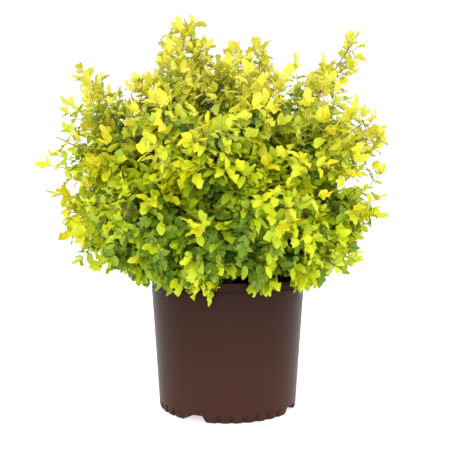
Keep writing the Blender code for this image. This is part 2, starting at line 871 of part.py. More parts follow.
def build_mass(mass, room, leaf, index, parts, material):
    """One mass of foliage, grown again by another draw while its joined body isn't sound."""
    for draw in range(MOST_DRAWS):
        dice = np.random.default_rng([SEED, index, draw])
        piece = join_mass(mass, room, leaf, dice, parts)
        if is_sound(piece.data):
            break
        if draw < MOST_DRAWS - 1:
            bpy.data.objects.remove(piece, do_unlink=True)
    paint(piece, material, smooth=False)


def join_mass(mass, room, leaf, dice, parts):
    """One mass of foliage fused into a single body: stem, core, twigs and leaves."""
    corners = plan_core(mass, room, dice)
    stem, twigs, leaves = grow_mass(mass, room, corners, dice)
    start = stem.foot + heading_on(stem, 0.0) * STEM_GAP
    points = [start] + stretch(stem, 0.0, 1.0, STEM_POINTS)[1:]
    radii = np.linspace(BOUGH_TIP_RADIUS, STEM_TIP_RADIUS, STEM_POINTS)
    piece = limb_solid(f"foliage_{mass.name}", points, radii, parts, 6)
    pieces = new_collection("mass pieces")
    for twig, turn in twigs:
        straight_twig(twig, turn, pieces)
    for place in leaves:
        blade = object_from("leaf", leaf, pieces)
        blade.matrix_world = place
    build_core(corners, mass.middle, pieces)
    combine(piece, pieces, "UNION", "MANIFOLD")
    remove_all(pieces)
    largest_body(piece.data)
    return piece


def main():
    """Builds the whole potted shrub."""
    clear_scene()
    parts = new_collection("potted privet")
    brown = finish("pot plastic", (0.078, 0.045, 0.036), 0.42)
    bark_mix = finish("growing mix", (0.045, 0.028, 0.018), 0.95)
    bark = finish("bark", (0.20, 0.15, 0.11), 0.8)
    golden = finish("golden leaves", (0.55, 0.58, 0.03), 0.5)
    build_pot(parts, brown)
    build_mix(parts, bark_mix)
    masses = plan_masses()
    build_trunk(masses, parts, bark)
    for mass in masses[:-1]:
        build_bough(mass, parts, bark)
    leaf = leaf_mesh()
    for index, mass in enumerate(masses):
        build_mass(mass, Room(masses, index), leaf, index, parts, golden)


main()
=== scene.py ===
"""Looks of the potted golden Chinese privet: pot, growing mix, bark, twigs and life-size leaves."""

import logging
import math
from dataclasses import dataclass, field, fields
from enum import Enum

import bpy
import numpy as np
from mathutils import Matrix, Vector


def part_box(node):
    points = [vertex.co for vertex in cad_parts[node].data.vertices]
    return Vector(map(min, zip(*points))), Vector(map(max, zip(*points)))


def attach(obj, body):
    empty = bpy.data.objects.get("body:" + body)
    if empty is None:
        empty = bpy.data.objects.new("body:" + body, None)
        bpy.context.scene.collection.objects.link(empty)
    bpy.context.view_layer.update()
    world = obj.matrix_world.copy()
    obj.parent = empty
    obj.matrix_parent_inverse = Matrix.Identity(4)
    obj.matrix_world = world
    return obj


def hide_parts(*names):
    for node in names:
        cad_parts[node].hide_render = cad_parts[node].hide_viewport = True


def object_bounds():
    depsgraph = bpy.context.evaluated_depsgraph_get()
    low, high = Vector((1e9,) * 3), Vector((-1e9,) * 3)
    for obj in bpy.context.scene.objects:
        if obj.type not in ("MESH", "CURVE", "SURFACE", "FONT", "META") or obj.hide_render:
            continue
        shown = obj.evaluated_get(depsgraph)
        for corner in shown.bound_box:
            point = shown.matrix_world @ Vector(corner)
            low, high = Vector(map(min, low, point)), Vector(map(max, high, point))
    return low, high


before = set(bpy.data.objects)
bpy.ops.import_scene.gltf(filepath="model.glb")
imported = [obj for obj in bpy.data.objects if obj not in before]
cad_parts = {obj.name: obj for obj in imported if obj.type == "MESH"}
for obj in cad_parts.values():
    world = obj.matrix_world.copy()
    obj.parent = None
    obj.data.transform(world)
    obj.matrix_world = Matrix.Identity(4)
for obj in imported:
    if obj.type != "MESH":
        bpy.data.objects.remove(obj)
FRAME_BOUNDS = [list(corner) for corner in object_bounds()]

LOG = logging.getLogger("privet")
Array = np.ndarray
Colour = tuple[float, float, float]
Socket = bpy.types.NodeSocket
UP = np.array([0.0, 0.0, 1.0])
QUARTER = math.pi / 2
MOST_TRIANGLES = 190_000


class Tone(Enum):
    """The colours of leaves, from the brightest new growth to the shaded inside of the crown."""

    GOLD = "gold"
    YELLOW = "yellow"
    CHARTREUSE = "chartreuse"
    LIME = "lime"
    GREEN = "green"
    DEEP = "deep"


@dataclass(frozen=True)
class Finish:
    """A surface of two colours mixed by noise, with a fine relief from it and a tint that comes in with height; the
    height tint and the marked tint also paint light and shade.
    """

    name: str
    colour: Colour
    second: Colour
    roughness: float
    scale: float
    relief: float = 0.0
    specular: float = 0.3
    detail: float = 4.0
    stretch: Colour = (1.0, 1.0, 1.0)
    glow: float = 0.0
    tint: Colour = (1.0, 1.0, 1.0)
    tint_heights: tuple[float, float] = (0.0, 0.0)
    marked: Colour = (1.0, 1.0, 1.0)

    def multiplied(self, tree: bpy.types.NodeTree, colour: Socket, factor: Socket, tint: Colour) -> Socket:
        """The colour multiplied by a tint as far as the factor says."""
        mix = tree.nodes.new("ShaderNodeMix")
        mix.data_type = "RGBA"
        mix.blend_type = "MULTIPLY"
        mix.inputs["B"].default_value = (*tint, 1.0)
        tree.links.new(factor, mix.inputs["Factor"])
        tree.links.new(colour, mix.inputs["A"])
        return mix.outputs["Result"]

    def build(self) -> bpy.types.Material:
        """Makes the material.

        Returns:
            The material with its node tree.
        """
        material = bpy.data.materials.new(self.name)
        material.use_nodes = True
        tree = material.node_tree
        shader = tree.nodes["Principled BSDF"]
        shader.inputs["Roughness"].default_value = self.roughness
        shader.inputs["Specular IOR Level"].default_value = self.specular
        place = tree.nodes.new("ShaderNodeTexCoord")
        mapping = tree.nodes.new("ShaderNodeMapping")
        mapping.inputs["Scale"].default_value = self.stretch
        noise = tree.nodes.new("ShaderNodeTexNoise")
        noise.inputs["Scale"].default_value = self.scale
        noise.inputs["Detail"].default_value = self.detail
        tree.links.new(place.outputs["Object"], mapping.inputs["Vector"])
        tree.links.new(mapping.outputs["Vector"], noise.inputs["Vector"])
        mix = tree.nodes.new("ShaderNodeMix")
        mix.data_type = "RGBA"
        mix.inputs["A"].default_value = (*self.colour, 1.0)
        mix.inputs["B"].default_value = (*self.second, 1.0)
        tree.links.new(noise.outputs["Fac"], mix.inputs["Factor"])
        colour = mix.outputs["Result"]
        # The height tint paints light and shade: the pot darker towards its top, and the leaves paler and brighter
        # towards the crown's top.
        if self.tint_heights[1]:
            parts = tree.nodes.new("ShaderNodeSeparateXYZ")
            tree.links.new(place.outputs["Object"], parts.inputs["Vector"])
            share = tree.nodes.new("ShaderNodeMapRange")
            share.inputs["From Min"].default_value, share.inputs["From Max"].default_value = self.tint_heights
            tree.links.new(parts.outputs["Z"], share.inputs["Value"])
            colour = self.multiplied(tree, colour, share.outputs["Result"], self.tint)
        # The marked tint: paler leaf midribs and undersides, which is their own colour, and painted shade in the
        # pot's grooves and at its ledge.
        if self.marked != (1.0, 1.0, 1.0):
            mark = tree.nodes.new("ShaderNodeAttribute")
            mark.attribute_name = "mark"
            colour = self.multiplied(tree, colour, mark.outputs["Fac"], self.marked)
        tree.links.new(colour, shader.inputs["Base Color"])
        if self.relief:
            bump = tree.nodes.new("ShaderNodeBump")
            bump.inputs["Strength"].default_value = 0.6
            bump.inputs["Distance"].default_value = self.relief
            tree.links.new(noise.outputs["Fac"], bump.inputs["Height"])
            tree.links.new(bump.outputs["Normal"], shader.inputs["Normal"])
        if self.glow:
            shader.inputs["Emission Color"].default_value = (1.0, 1.0, 1.0, 1.0)
            shader.inputs["Emission Strength"].default_value = self.glow
        return material


def unit(vectors: Array) -> Array:
    """The vectors scaled to length one."""
    return vectors / np.maximum(np.linalg.norm(vectors, axis=-1, keepdims=True), 1e-12)


def sideways(along: Array, turn: Array) -> Array:
    """Unit vectors square to directions: a level one and its cross, mixed by cosine and sine of the turn."""
    level = np.cross(along, UP)
    steep = np.linalg.norm(level, axis=-1, keepdims=True) < 0.1
    level = unit(np.where(steep, np.array([1.0, 0.0, 0.0]), level))
    turn = np.asarray(turn)[..., None]
    return level * np.cos(turn) + np.cross(along, level) * np.sin(turn)


def skin(stations: int, sides: int) -> list[Array]:
    """The faces of rings of points with a pole at each end, which follow the rings in the point list.

    Args:
        stations: How many rings.
        sides: Points in each ring, anticlockwise about the way from the first pole to the last.

    Returns:
        The four-sided faces between the rings and the three-sided ones at the poles.
    """
    ring = np.arange(stations * sides).reshape(stations, sides)
    turned = np.roll(ring, -1, axis=1)
    quads = np.stack([ring[:-1], turned[:-1], turned[1:], ring[1:]], axis=-1).reshape(-1, 4)
    first, last = stations * sides, stations * sides + 1
    foot = np.stack([np.full(sides, first), turned[0], ring[0]], axis=-1)
    head = np.stack([np.full(sides, last), ring[-1], turned[-1]], axis=-1)
    return [quads, np.concatenate([foot, head])]


def repeated(points: Array, faces: list[Array]) -> tuple[Array, list[Array]]:
    """Many copies of one net of faces over points of their own.

    Args:
        points: The points, as copies by points by three.
        faces: The faces of one copy.

    Returns:
        All the points and all the faces.
    """
    start = (np.arange(len(points)) * points.shape[1])[:, None, None]
    return points.reshape(-1, 3), [(part[None] + start).reshape(-1, part.shape[1]) for part in faces]


def joined(parts: list[tuple[Array, list[Array]]]) -> tuple[Array, list[Array]]:
    """Several surfaces as one list of points and faces."""
    starts = np.cumsum([0] + [len(points) for points, _ in parts])
    faces = [part + start for (_, group), start in zip(parts, starts) for part in group]
    return np.concatenate([points for points, _ in parts]), faces


def new_piece(
    name: str,
    surface: tuple[Array, list[Array]],
    finish: Finish,
    nodes: list[str],
    marks: Array | None = None,
) -> bpy.types.Object:
    """Makes a finished mesh that rides on the part.

    Args:
        name: The piece's name.
        surface: Its points, in metres, and its faces.
        finish: Its material.
        nodes: The CAD nodes that it stands for.
        marks: How far each point takes the finish's marked tint.

    Returns:
        The object.
    """
    points, faces = surface
    mesh = bpy.data.meshes.new(name)
    corners = np.concatenate([part.reshape(-1) for part in faces]).astype(np.int32)
    totals = np.concatenate([np.full(len(part), part.shape[1]) for part in faces]).astype(np.int32)
    mesh.vertices.add(len(points))
    mesh.vertices.foreach_set("co", np.ascontiguousarray(points, np.float32).reshape(-1))
    mesh.loops.add(len(corners))
    mesh.loops.foreach_set("vertex_index", corners)
    mesh.polygons.add(len(totals))
    starts = np.concatenate([[0], np.cumsum(totals)[:-1]]).astype(np.int32)
    mesh.polygons.foreach_set("loop_start", starts)
    mesh.polygons.foreach_set("loop_total", totals)
    mesh.update(calc_edges=True)
    if marks is not None:
        mesh.attributes.new("mark", "FLOAT", "POINT").data.foreach_set("value", marks.astype(np.float32))
    mesh.validate()
    mesh.shade_smooth()
    mesh.set_sharp_from_angle(angle=math.radians(50))
    mesh.materials.append(finish.build())
    piece = bpy.data.objects.new(name, mesh)
    bpy.context.scene.collection.objects.link(piece)
    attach(piece, "root")
    if nodes:
        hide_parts(*nodes)
    LOG.info("%s: %d triangles", name, int((totals - 2).sum()))
    return piece


@dataclass
class Limbs:
    """Bent limbs as quadratic curves: arrays of feet, bends and tips."""

    foot: Array
    bend: Array
    tip: Array

    def at(self, share: Array) -> Array:
        """Points at shares of the curves: foot, bend and tip weighted by the quadratic rule."""
        share = np.broadcast_to(share, len(self.foot))[:, None]
        rest = 1 - share
        return self.foot * rest**2 + self.bend * 2 * share * rest + self.tip * share**2

    def heading(self, share: Array) -> Array:
        """Unit directions of growth at shares of the curves."""
        share = np.broadcast_to(share, len(self.foot))[:, None]
        return unit((self.bend - self.foot) * (1 - share) + (self.tip - self.bend) * share)

    def length(self) -> Array:
        """The lengths, by eight chords."""
        points = np.stack([self.at(step / 8) for step in range(9)])
        return np.linalg.norm(np.diff(points, axis=0), axis=-1).sum(axis=0)

    def part(self, start: Array, end: Array) -> "Limbs":
        """The same curves from one share to another, which may lie past their tips.

        Each new bend is foot, bend and tip weighted by the products of the two shares and of their rests.

        Args:
            start: The share where each part starts.
            end: The share where it ends.

        Returns:
            The parts.
        """
        first = np.broadcast_to(start, len(self.foot))[:, None]
        last = np.broadcast_to(end, len(self.foot))[:, None]
        crossed = first + last - 2 * first * last
        bend = self.foot * (1 - first) * (1 - last) + self.bend * crossed + self.tip * first * last
        return Limbs(self.at(start), bend, self.at(end))

    def chosen(self, index: Array) -> "Limbs":
        """Some of the limbs, by a mask or by numbers that may repeat."""
        return Limbs(self.foot[index], self.bend[index], self.tip[index])

    @staticmethod
    def join(groups: list["Limbs"]) -> "Limbs":
        """Several groups as one."""
        return Limbs(*(np.concatenate([getattr(g, f.name) for g in groups]) for f in fields(Limbs)))


def tubes(limbs: Limbs, radii: Array, sides: int, relief: float = 0.0) -> tuple[Array, list[Array]]:
    """Closed tapering tubes: circles of the given radii carried along the curves, with a pole at each end.

    A relief makes the radius larger and smaller by waves round and along the limb, as ridged bark is.

    Args:
        limbs: The limbs.
        radii: Their radii at even steps, as limbs by stations.
        sides: Points round each ring.
        relief: The height of the waves as a share of the radius.

    Returns:
        The points and the faces.
    """
    count, stations = radii.shape
    shares = np.linspace(0, 1, stations)
    middle = np.stack([limbs.at(share) for share in shares], axis=1)
    along = np.stack([limbs.heading(share) for share in shares], axis=1)
    first = sideways(along, np.zeros((count, stations)))
    second = np.cross(along, first)
    turn = np.linspace(0, 2 * np.pi, sides, endpoint=False)
    run = shares[None, :, None] * limbs.length()[:, None, None]
    waves = np.sin(3 * turn + 420 * run) + 0.7 * np.sin(5 * turn - 610 * run) + 0.5 * np.sin(1300 * run)
    spread = radii[:, :, None] * (1 + relief * waves)
    ring = first[:, :, None] * np.cos(turn)[:, None] + second[:, :, None] * np.sin(turn)[:, None]
    rings = middle[:, :, None] + ring * spread[..., None]
    points = np.concatenate([rings.reshape(count, -1, 3), middle[:, :1], middle[:, -1:]], axis=1)
    return repeated(points, skin(stations, sides))


@dataclass
class Tier:
    """One level of masses round the crown: where their tips are and where their boughs leave the trunk."""

    name: str
    bearings: tuple[float, ...]
    reaches: tuple[float, ...]
    heights: tuple[float, ...]
    fork: float
    lift: float
    enters: float
    middle: float


@dataclass
class CrownPlan:
    """Where every limb and mass of the crown is, by the same rule as the solids."""

    seed: int = 7
    shift: float = -0.012
    mix_level: float = 0.196
    trunk_height: float = 0.110
    trunk_radius: float = 0.0078
    trunk_taper: float = 0.4
    trunk_lean: float = 0.25
    bough_foot_radius: float = 0.0030
    bough_tip_radius: float = 0.0019
    stub_room: float = 0.002
    bough_bend: tuple[float, float] = (0.42, 0.55)
    leader_tip: Colour = (-0.076, -0.004, 0.677)
    leader_enters: float = 0.62
    leader_middle: float = 0.80
    tiers: tuple[Tier, ...] = (
        Tier(
            "skirt",
            (322, 20, 80, 145, 205, 262),
            (0.235, 0.255, 0.245, 0.258, 0.232, 0.205),
            (0.248, 0.250, 0.250, 0.262, 0.280, 0.256),
            0.222,
            0.075,
            0.46,
            0.70,
        ),
        Tier(
            "lower",
            (350, 48, 112, 175, 235, 293),
            (0.285, 0.280, 0.275, 0.292, 0.262, 0.262),
            (0.330, 0.335, 0.340, 0.338, 0.335, 0.335),
            0.236,
            0.050,
            0.46,
            0.69,
        ),
        Tier(
            "flank",
            (8, 60, 112, 162, 212, 265, 316),
            (0.300, 0.285, 0.280, 0.290, 0.288, 0.265, 0.280),
            (0.490, 0.450, 0.455, 0.450, 0.445, 0.440, 0.455),
            0.250,
            0.015,
            0.46,
            0.70,
        ),
        Tier(
            "shoulder",
            (346, 30, 104, 176, 235, 290),
            (0.238, 0.250, 0.225, 0.256, 0.205, 0.195),
            (0.634, 0.622, 0.565, 0.596, 0.530, 0.540),
            0.264,
            -0.02,
            0.54,
            0.75,
        ),
        Tier(
            "upper",
            (268, 35, 150),
            (0.090, 0.100, 0.132),
            (0.585, 0.660, 0.668),
            0.292,
            -0.02,
            0.62,
            0.79,
        ),
    )
    names: list[str] = field(default_factory=list)
    limbs: Limbs = field(init=False)
    enters: Array = field(init=False)
    middles: Array = field(init=False)
    forks: Array = field(init=False)

    def axis(self, height: float) -> Array:
        """The trunk's middle at a height: it leans a little towards the crown's own middle."""
        rise = (height - self.mix_level) / self.trunk_height
        return np.array([self.shift * self.trunk_lean * rise, 0.0, height])

    def thickness(self, height: float) -> float:
        """The trunk's radius at a height above its flare."""
        return self.trunk_radius * (1 - self.trunk_taper * (height - self.mix_level) / self.trunk_height)

    def bough(self, tier: Tier, bearing: float, reach: float, height: float) -> Array:
        """The foot, bend and tip of the limb that carries one mass."""
        turn = math.radians(bearing)
        out = np.array([math.cos(turn), math.sin(turn), 0.0])
        axis = self.axis(tier.fork)
        bend = axis + out * reach * self.bough_bend[0]
        bend[2] += (height - axis[2]) * self.bough_bend[1] + tier.lift
        heading = unit(bend - axis)
        level = math.hypot(heading[0], heading[1])
        clear = self.thickness(tier.fork) + self.bough_foot_radius * heading[2] + self.stub_room
        return np.array([axis + heading * clear / level, bend, out * reach + [self.shift, 0.0, height]])

    def __post_init__(self) -> None:
        """Works out every limb, tier by tier, and last the leader."""
        curves, enters, middles, forks = [], [], [], []
        for tier in self.tiers:
            for number, place in enumerate(zip(tier.bearings, tier.reaches, tier.heights), 1):
                curves.append(self.bough(tier, *place))
                enters.append(tier.enters)
                middles.append(tier.middle)
                forks.append(self.axis(tier.fork))
                self.names.append(f"{tier.name}_{number}")
        top = self.axis(self.mix_level + self.trunk_height)
        bend = np.array([top[0], 0.0, (top[2] + self.leader_tip[2]) / 2])
        curves.append(np.array([top, bend, self.leader_tip]))
        self.names.append("top")
        self.limbs = Limbs(*np.array(curves).transpose(1, 0, 2))
        self.enters = np.array([*enters, self.leader_enters])
        self.middles = self.limbs.at(np.array([*middles, self.leader_middle]))
        self.forks = np.array(forks)


@dataclass
class Room:
    """Where the twigs and leaves of one mass may be, by the same rule as the solids."""

    plan: CrownPlan
    index: int
    limb_room: float = 0.0075
    space_room: float = 0.0006
    pot_room: float = 0.003
    plume_room: float = 0.045
    pot_height: float = 0.222
    rim_radius: float = 0.135
    tip_room: float = 0.008
    lobe_start: float = 0.045
    lobe_drop: float = 0.4
    lobe_most: float = 0.060
    body_depth: float = 0.030
    body_shift: float = -0.021
    plume_widths: tuple[float, float] = (0.055, 0.028)
    box_room: float = 0.009
    dips: tuple[Colour, ...] = ((-0.030, 0.032, 0.060), (0.062, 0.024, 0.040), (-0.155, 0.035, 0.045))
    heights: tuple[float, ...] = (
        0.200, 0.225, 0.260, 0.300, 0.360, 0.420, 0.470, 0.505, 0.530, 0.555, 0.580, 0.605, 0.630, 0.655,
    )
    reaches: tuple[float, ...] = (
        0.140, 0.190, 0.240, 0.268, 0.284, 0.288, 0.282, 0.262, 0.235, 0.195, 0.150, 0.105, 0.060, 0.030,
    )

    def __post_init__(self) -> None:
        """Works out the walls between this mass and the others, and the points of the limbs."""
        plan = self.plan
        own = plan.middles[self.index]
        others = np.delete(plan.middles, self.index, axis=0)
        self.normals = unit(others - own)
        self.offsets = ((others + own) / 2 * self.normals).sum(axis=1) - self.space_room
        self.limbs = np.concatenate([plan.limbs.at(plan.enters * step) for step in np.linspace(0, 1, 40)])
        one = plan.limbs.chosen([self.index])
        steps = np.linspace(plan.enters[self.index], 1, 12)
        self.own_limb = np.concatenate([one.at(step) for step in steps])
        self.tip = one.tip[0]
        self.tip_heading = one.heading(1.0)[0]

    def depth(self, points: Array) -> Array:
        """How far inside the crown's outline points lie, the less of sideways and upwards."""
        reach = np.hypot(points[:, 0] - self.body_shift, points[:, 1])
        side = np.interp(points[:, 2], self.heights, self.reaches) - reach
        top = np.interp(-reach, -np.array(self.reaches[6:]), self.heights[6:]) - points[:, 2]
        for across, width, drop in self.dips:
            top = top - drop * np.exp(-(((points[:, 0] - across) / width) ** 2))
        return np.minimum(side, top)

    def limb_gaps(self, points: Array) -> Array:
        """The distances from points to the steps of the mass's own limb."""
        return np.linalg.norm(points[:, None] - self.own_limb[None], axis=2)

    def lobed_depth(self, points: Array) -> Array:
        """The depth in the leafy body, less where points stray from the mass's own limb, so that it has lobes."""
        stray = self.limb_gaps(points).min(axis=1) - self.lobe_start
        return self.depth(points) - self.body_depth - self.lobe_drop * np.clip(stray, 0, self.lobe_most)

    def in_plume(self, points: Array) -> Array:
        """Which points lie inside the body or near the mass's own limb, nearer towards its tip."""
        gaps = self.limb_gaps(points)
        return (self.lobed_depth(points) > 0) | (gaps < np.linspace(*self.plume_widths, gaps.shape[1])).any(axis=1)

    def in_box(self, points: Array) -> Array:
        """Which points lie in the part's own box, let out by the room for leaves."""
        low, high = (np.array(corner) for corner in FRAME_BOUNDS)
        return ((points > low - self.box_room) & (points < high + self.box_room)).all(axis=1)

    def open(self, points: Array, limb_room: float, past: float) -> Array:
        """Which points lie between the mass's walls, clear of limbs and pot.

        Args:
            points: The points.
            limb_room: The room kept round limbs.
            past: How far the space reaches past its own walls.

        Returns:
            True for each such point.
        """
        free = (points @ self.normals.T < self.offsets + past).all(axis=1)
        if limb_room:
            free &= np.linalg.norm(points[:, None] - self.limbs[None], axis=2).min(axis=1) > limb_room
        radius = np.hypot(points[:, 0], points[:, 1])
        return free & ((points[:, 2] > self.pot_height + self.pot_room) | (radius > self.rim_radius + self.pot_room))

    def clear(self, points: Array, limb_room: float, past: float = 0.0) -> Array:
        """Which points are open and lie in the crown's outline, or near the mass's own limb.

        Args:
            points: The points.
            limb_room: The room kept round limbs.
            past: How far the space reaches past its own walls, and twice as far as past the outline.

        Returns:
            True for each clear point.
        """
        reach = np.hypot(points[:, 0] - self.plan.shift, points[:, 1])
        inside = reach < np.interp(points[:, 2], self.heights, self.reaches, 0.0, 0.0) + past / 2
        inside &= points[:, 2] > self.heights[0] - past
        return self.open(points, limb_room, past) & (inside | (self.limb_gaps(points).min(axis=1) < self.plume_room))

    def within_reach(self, points: Array) -> Array:
        """Which points don't pass the tip of the mass's own limb."""
        return (points - self.tip) @ self.tip_heading < self.tip_room


@dataclass
class Leaves:
    """Where leaves grow, one row for each: its place, size and age, its spray and its own chances."""

    root: Array
    direction: Array
    upper: Array
    size: Array
    depth: Array
    age: Array
    spray: Array
    luck: Array

    def chosen(self, index: Array) -> "Leaves":
        """Some of the leaves."""
        return Leaves(*(getattr(self, f.name)[index] for f in fields(Leaves)))

    @staticmethod
    def join(groups: list["Leaves"]) -> "Leaves":
        """Several groups as one."""
        return Leaves(*(np.concatenate([getattr(g, f.name) for g in groups]) for f in fields(Leaves)))


@dataclass
class Crown:
    """The crown's growth: the stems and twigs of the solids, carried on to sprigs and leaves."""

    plan: CrownPlan
    core_corners: int = 42
    twig_nodes: tuple[float, ...] = (0.25, 0.52, 0.80)
    twig_length: float = 0.082
    twig_least: float = 0.020
    twig_shortening: float = 0.16
    twig_angle: tuple[float, float] = (52.0, 8.0)
    twig_rise: float = 0.014
    stand_in_leaf: float = 0.050
    stand_in_sink: float = 0.0012
    end_leaf: float = 0.022
    carried_lengths: tuple[float, ...] = (-0.034, -0.017, 0.0, 0.010, 0.020, 0.030, 0.042, 0.055)
    sprig_step: float = 0.0077
    sprig_length: float = 0.066
    sprig_least: float = 0.014
    sprig_angle: tuple[float, float] = (50.0, 10.0)
    sprig_rise: float = 0.020
    sprig_room: float = 0.012
    bare_depth: float = 0.150
    thin_depth: float = 0.042
    inner_start: float = 0.20
    low_height: float = 0.310
    fuller_side: Colour = (0.75, -0.66, 0.0)
    fuller_least: float = 0.095
    rim_hidden: float = 0.245
    shoot_tries: int = 14
    shoot_share: float = 0.5
    shoot_angle: tuple[float, float] = (8.0, 48.0)
    shoot_length: tuple[float, float] = (0.045, 0.095)
    shoot_depths: tuple[float, float] = (-0.008, 0.030)
    shoot_room: float = 0.030
    shoot_lowest: float = 0.245
    shoot_leaf_step: float = 0.0135
    hanging_step: float = 0.0058
    hanging_turn: float = 55.0
    hanging_reach: tuple[float, float] = (0.008, 0.045)
    hanging_ends: tuple[float, float] = (0.209, 0.250)
    hanging_top: float = 0.340
    hanging_room: float = 0.050
    hanging_past: float = 0.030
    hanging_least: float = 0.095
    leaf_length: float = 0.0218
    leaf_step: float = 0.0105
    long_leaf_step: float = 0.0150
    leaf_angle: float = 62.0
    shade_depths: tuple[float, float] = (0.055, 0.105)
    shade_growth: float = 0.35

    def offshoots(
        self, parents: Limbs, shares: Array, turns: Array, lengths: Array, spread: Array, rise: Array
    ) -> Limbs:
        """Shoots that leave their parents at an angle and lean up by their rise.

        Args:
            parents: One parent for each shoot.
            shares: Where on the parent each starts.
            turns: The turn about the parent.
            lengths: The lengths before the rise.
            spread: The angles to the parent.
            rise: How far each tip is lifted.

        Returns:
            The shoots.
        """
        foot = parents.at(shares)
        along = parents.heading(shares)
        direction = along * np.cos(spread)[:, None] + sideways(along, turns) * np.sin(spread)[:, None]
        reach = direction * lengths[:, None]
        return Limbs(foot, foot + reach / 2, foot + reach + UP * rise[:, None])

    def stem_and_twigs(self, room: Room) -> tuple[Limbs, Limbs]:
        """The stem and twigs of a mass where the solids have them, by the same draws."""
        plan = self.plan
        dice = np.random.default_rng([plan.seed, room.index, 0])
        dice.random(1 + self.core_corners)
        limb = plan.limbs.chosen([room.index])
        enters = plan.enters[room.index]
        tip = limb.at(1 - (self.stand_in_leaf - self.stand_in_sink) / limb.length())
        foot = limb.at(enters)
        half = np.linalg.norm(tip - foot) / 2
        stem = Limbs(foot, foot + limb.heading(enters) * half, tip)
        node = np.repeat(np.arange(len(self.twig_nodes)), 2)
        turns = dice.uniform(0, math.pi) + node * QUARTER + np.tile([0.0, math.pi], len(self.twig_nodes))
        luck = dice.uniform(-1, 1, (len(node), 2))
        lengths = self.twig_length * (1 - self.twig_shortening * node) * (1 + 0.15 * luck[:, 0])
        spread = np.radians(self.twig_angle[0] + self.twig_angle[1] * luck[:, 1])
        parents = stem.chosen(np.zeros(len(node), int))
        shares = np.array(self.twig_nodes)[node]
        rise = np.full(len(node), self.twig_rise)
        for _ in range(40):
            twigs = self.offshoots(parents, shares, turns, lengths, spread, rise)
            twigs.bend = (twigs.foot + twigs.tip) / 2
            ends = twigs.tip + twigs.heading(1.0) * self.stand_in_leaf * 0.6
            tests = [twigs.at(share) for share in (0.25, 0.5, 0.75, 1.0)] + [(twigs.tip + ends) / 2, ends]
            clear = room.clear(np.concatenate(tests), room.limb_room).reshape(6, -1).all(axis=0)
            short = ~clear & (lengths > self.twig_least)
            lengths = np.where(short, lengths * 0.9, lengths)
            if not short.any():
                break
        return stem, twigs.chosen(lengths > self.twig_least)

    def carried_on(self, limbs: Limbs, room: Room) -> Limbs:
        """Limbs cut back to the crown's body, or grown on in it as far as there is room."""
        end = np.full(len(limbs.foot), 0.5)
        for extra in self.carried_lengths:
            longer = np.maximum(1 + extra / limbs.length(), 0.5)
            leaf_tip = limbs.at(longer) + limbs.heading(longer) * self.end_leaf
            end = np.where(room.clear(leaf_tip, 0.0, self.sprig_room) & room.in_plume(leaf_tip), longer, end)
        return limbs.part(0.0, end)

    def sprigs(self, main: Limbs, room: Room, dice: np.random.Generator) -> tuple[Limbs, Array]:
        """Finer twigs in opposite pairs along stem and twigs, each pair a quarter turn on, shorter to the tip.

        Args:
            main: The limbs that carry them.
            room: The room of the mass.
            dice: The mass's random numbers.

        Returns:
            The sprigs, and the number of the limb that carries each.
        """
        length = main.length()
        nodes = np.maximum((length / self.sprig_step).astype(int), 1)
        parent = np.repeat(np.arange(len(length)), nodes * 2)
        order = np.concatenate([np.arange(n * 2) for n in nodes])
        share = (order // 2 + 0.7 + 0.35 * dice.uniform(-1, 1, len(order))) / nodes[parent]
        share = np.clip(share, 0.04, 0.94)
        turns = dice.uniform(0, math.pi, len(length))[parent] + (order // 2) * QUARTER + order % 2 * math.pi
        lengths = self.sprig_length * (1 - 0.55 * share) * (1 + 0.30 * dice.uniform(-1, 1, len(order)))
        spread = np.radians(self.sprig_angle[0] + self.sprig_angle[1] * dice.uniform(-1, 1, len(order)))
        chance = dice.uniform(0, 1, len(order))
        parents = main.chosen(parent)
        foot = parents.at(share)
        depth = room.depth(foot)
        lengths = np.where(depth < 0, np.minimum(lengths, 0.030), lengths)
        lengths = lengths * (1 + 0.5 * np.clip((self.low_height - foot[:, 2]) / 0.05, 0, 1))
        upwards = np.clip((foot[:, 2] - self.low_height) / 0.06, -1.0, 1.0)
        for _ in range(7):
            rise = self.sprig_rise * upwards * lengths / self.sprig_length
            shoots = self.offshoots(parents, share, turns, lengths, spread, rise)
            leaf_tip = shoots.tip + shoots.heading(1.0) * self.end_leaf * 0.8
            tests = np.concatenate([shoots.at(0.4), shoots.at(0.7), shoots.tip, leaf_tip])
            clear = room.clear(tests, 0.003, self.sprig_room) & room.within_reach(tests) & room.in_plume(tests)
            clear = clear.reshape(4, -1).all(axis=0)
            lengths = np.where(clear, lengths, lengths * 0.8)
        wanted = chance < 0.26 + 0.74 * np.clip(room.lobed_depth(leaf_tip) / self.thin_depth, 0, 1)
        keep = clear & wanted & (lengths > self.sprig_least)
        return shoots.chosen(keep), parent[keep]

    def shoots(self, main: Limbs, room: Room, dice: np.random.Generator) -> tuple[Limbs, Array]:
        """Long straight shoots that stand out past the crown's outline, as the young growth of a hedge plant does.

        Args:
            main: The limbs that carry them.
            room: The room of the mass.
            dice: The mass's random numbers.

        Returns:
            The shoots, and the number of the limb that carries each.
        """
        parent = np.repeat(np.arange(len(main.foot)), self.shoot_tries)
        count = len(parent)
        parents = main.chosen(parent)
        share = dice.uniform(0.25, 0.95, count)
        turns = dice.uniform(0, 2 * math.pi, count)
        spread = np.radians(dice.uniform(*self.shoot_angle, count))
        lengths = dice.uniform(*self.shoot_length, count)
        steep = np.clip((parents.at(share)[:, 2] - self.low_height) / 0.10, -0.3, 1.0)
        grown = self.offshoots(parents, share, turns, lengths, spread, 0.30 * lengths * steep)
        depth = room.depth(grown.tip)
        keep = (depth < self.shoot_depths[1]) & (depth > self.shoot_depths[0])
        for step in (0.3, 0.6, 1.0, 1.2):
            point = grown.at(step)
            keep &= room.open(point, 0.003, self.shoot_room) & room.in_box(point)
        keep &= (grown.tip[:, 2] > self.shoot_lowest) & (dice.uniform(0, 1, count) < self.shoot_share)
        return grown.chosen(keep), parent[keep]

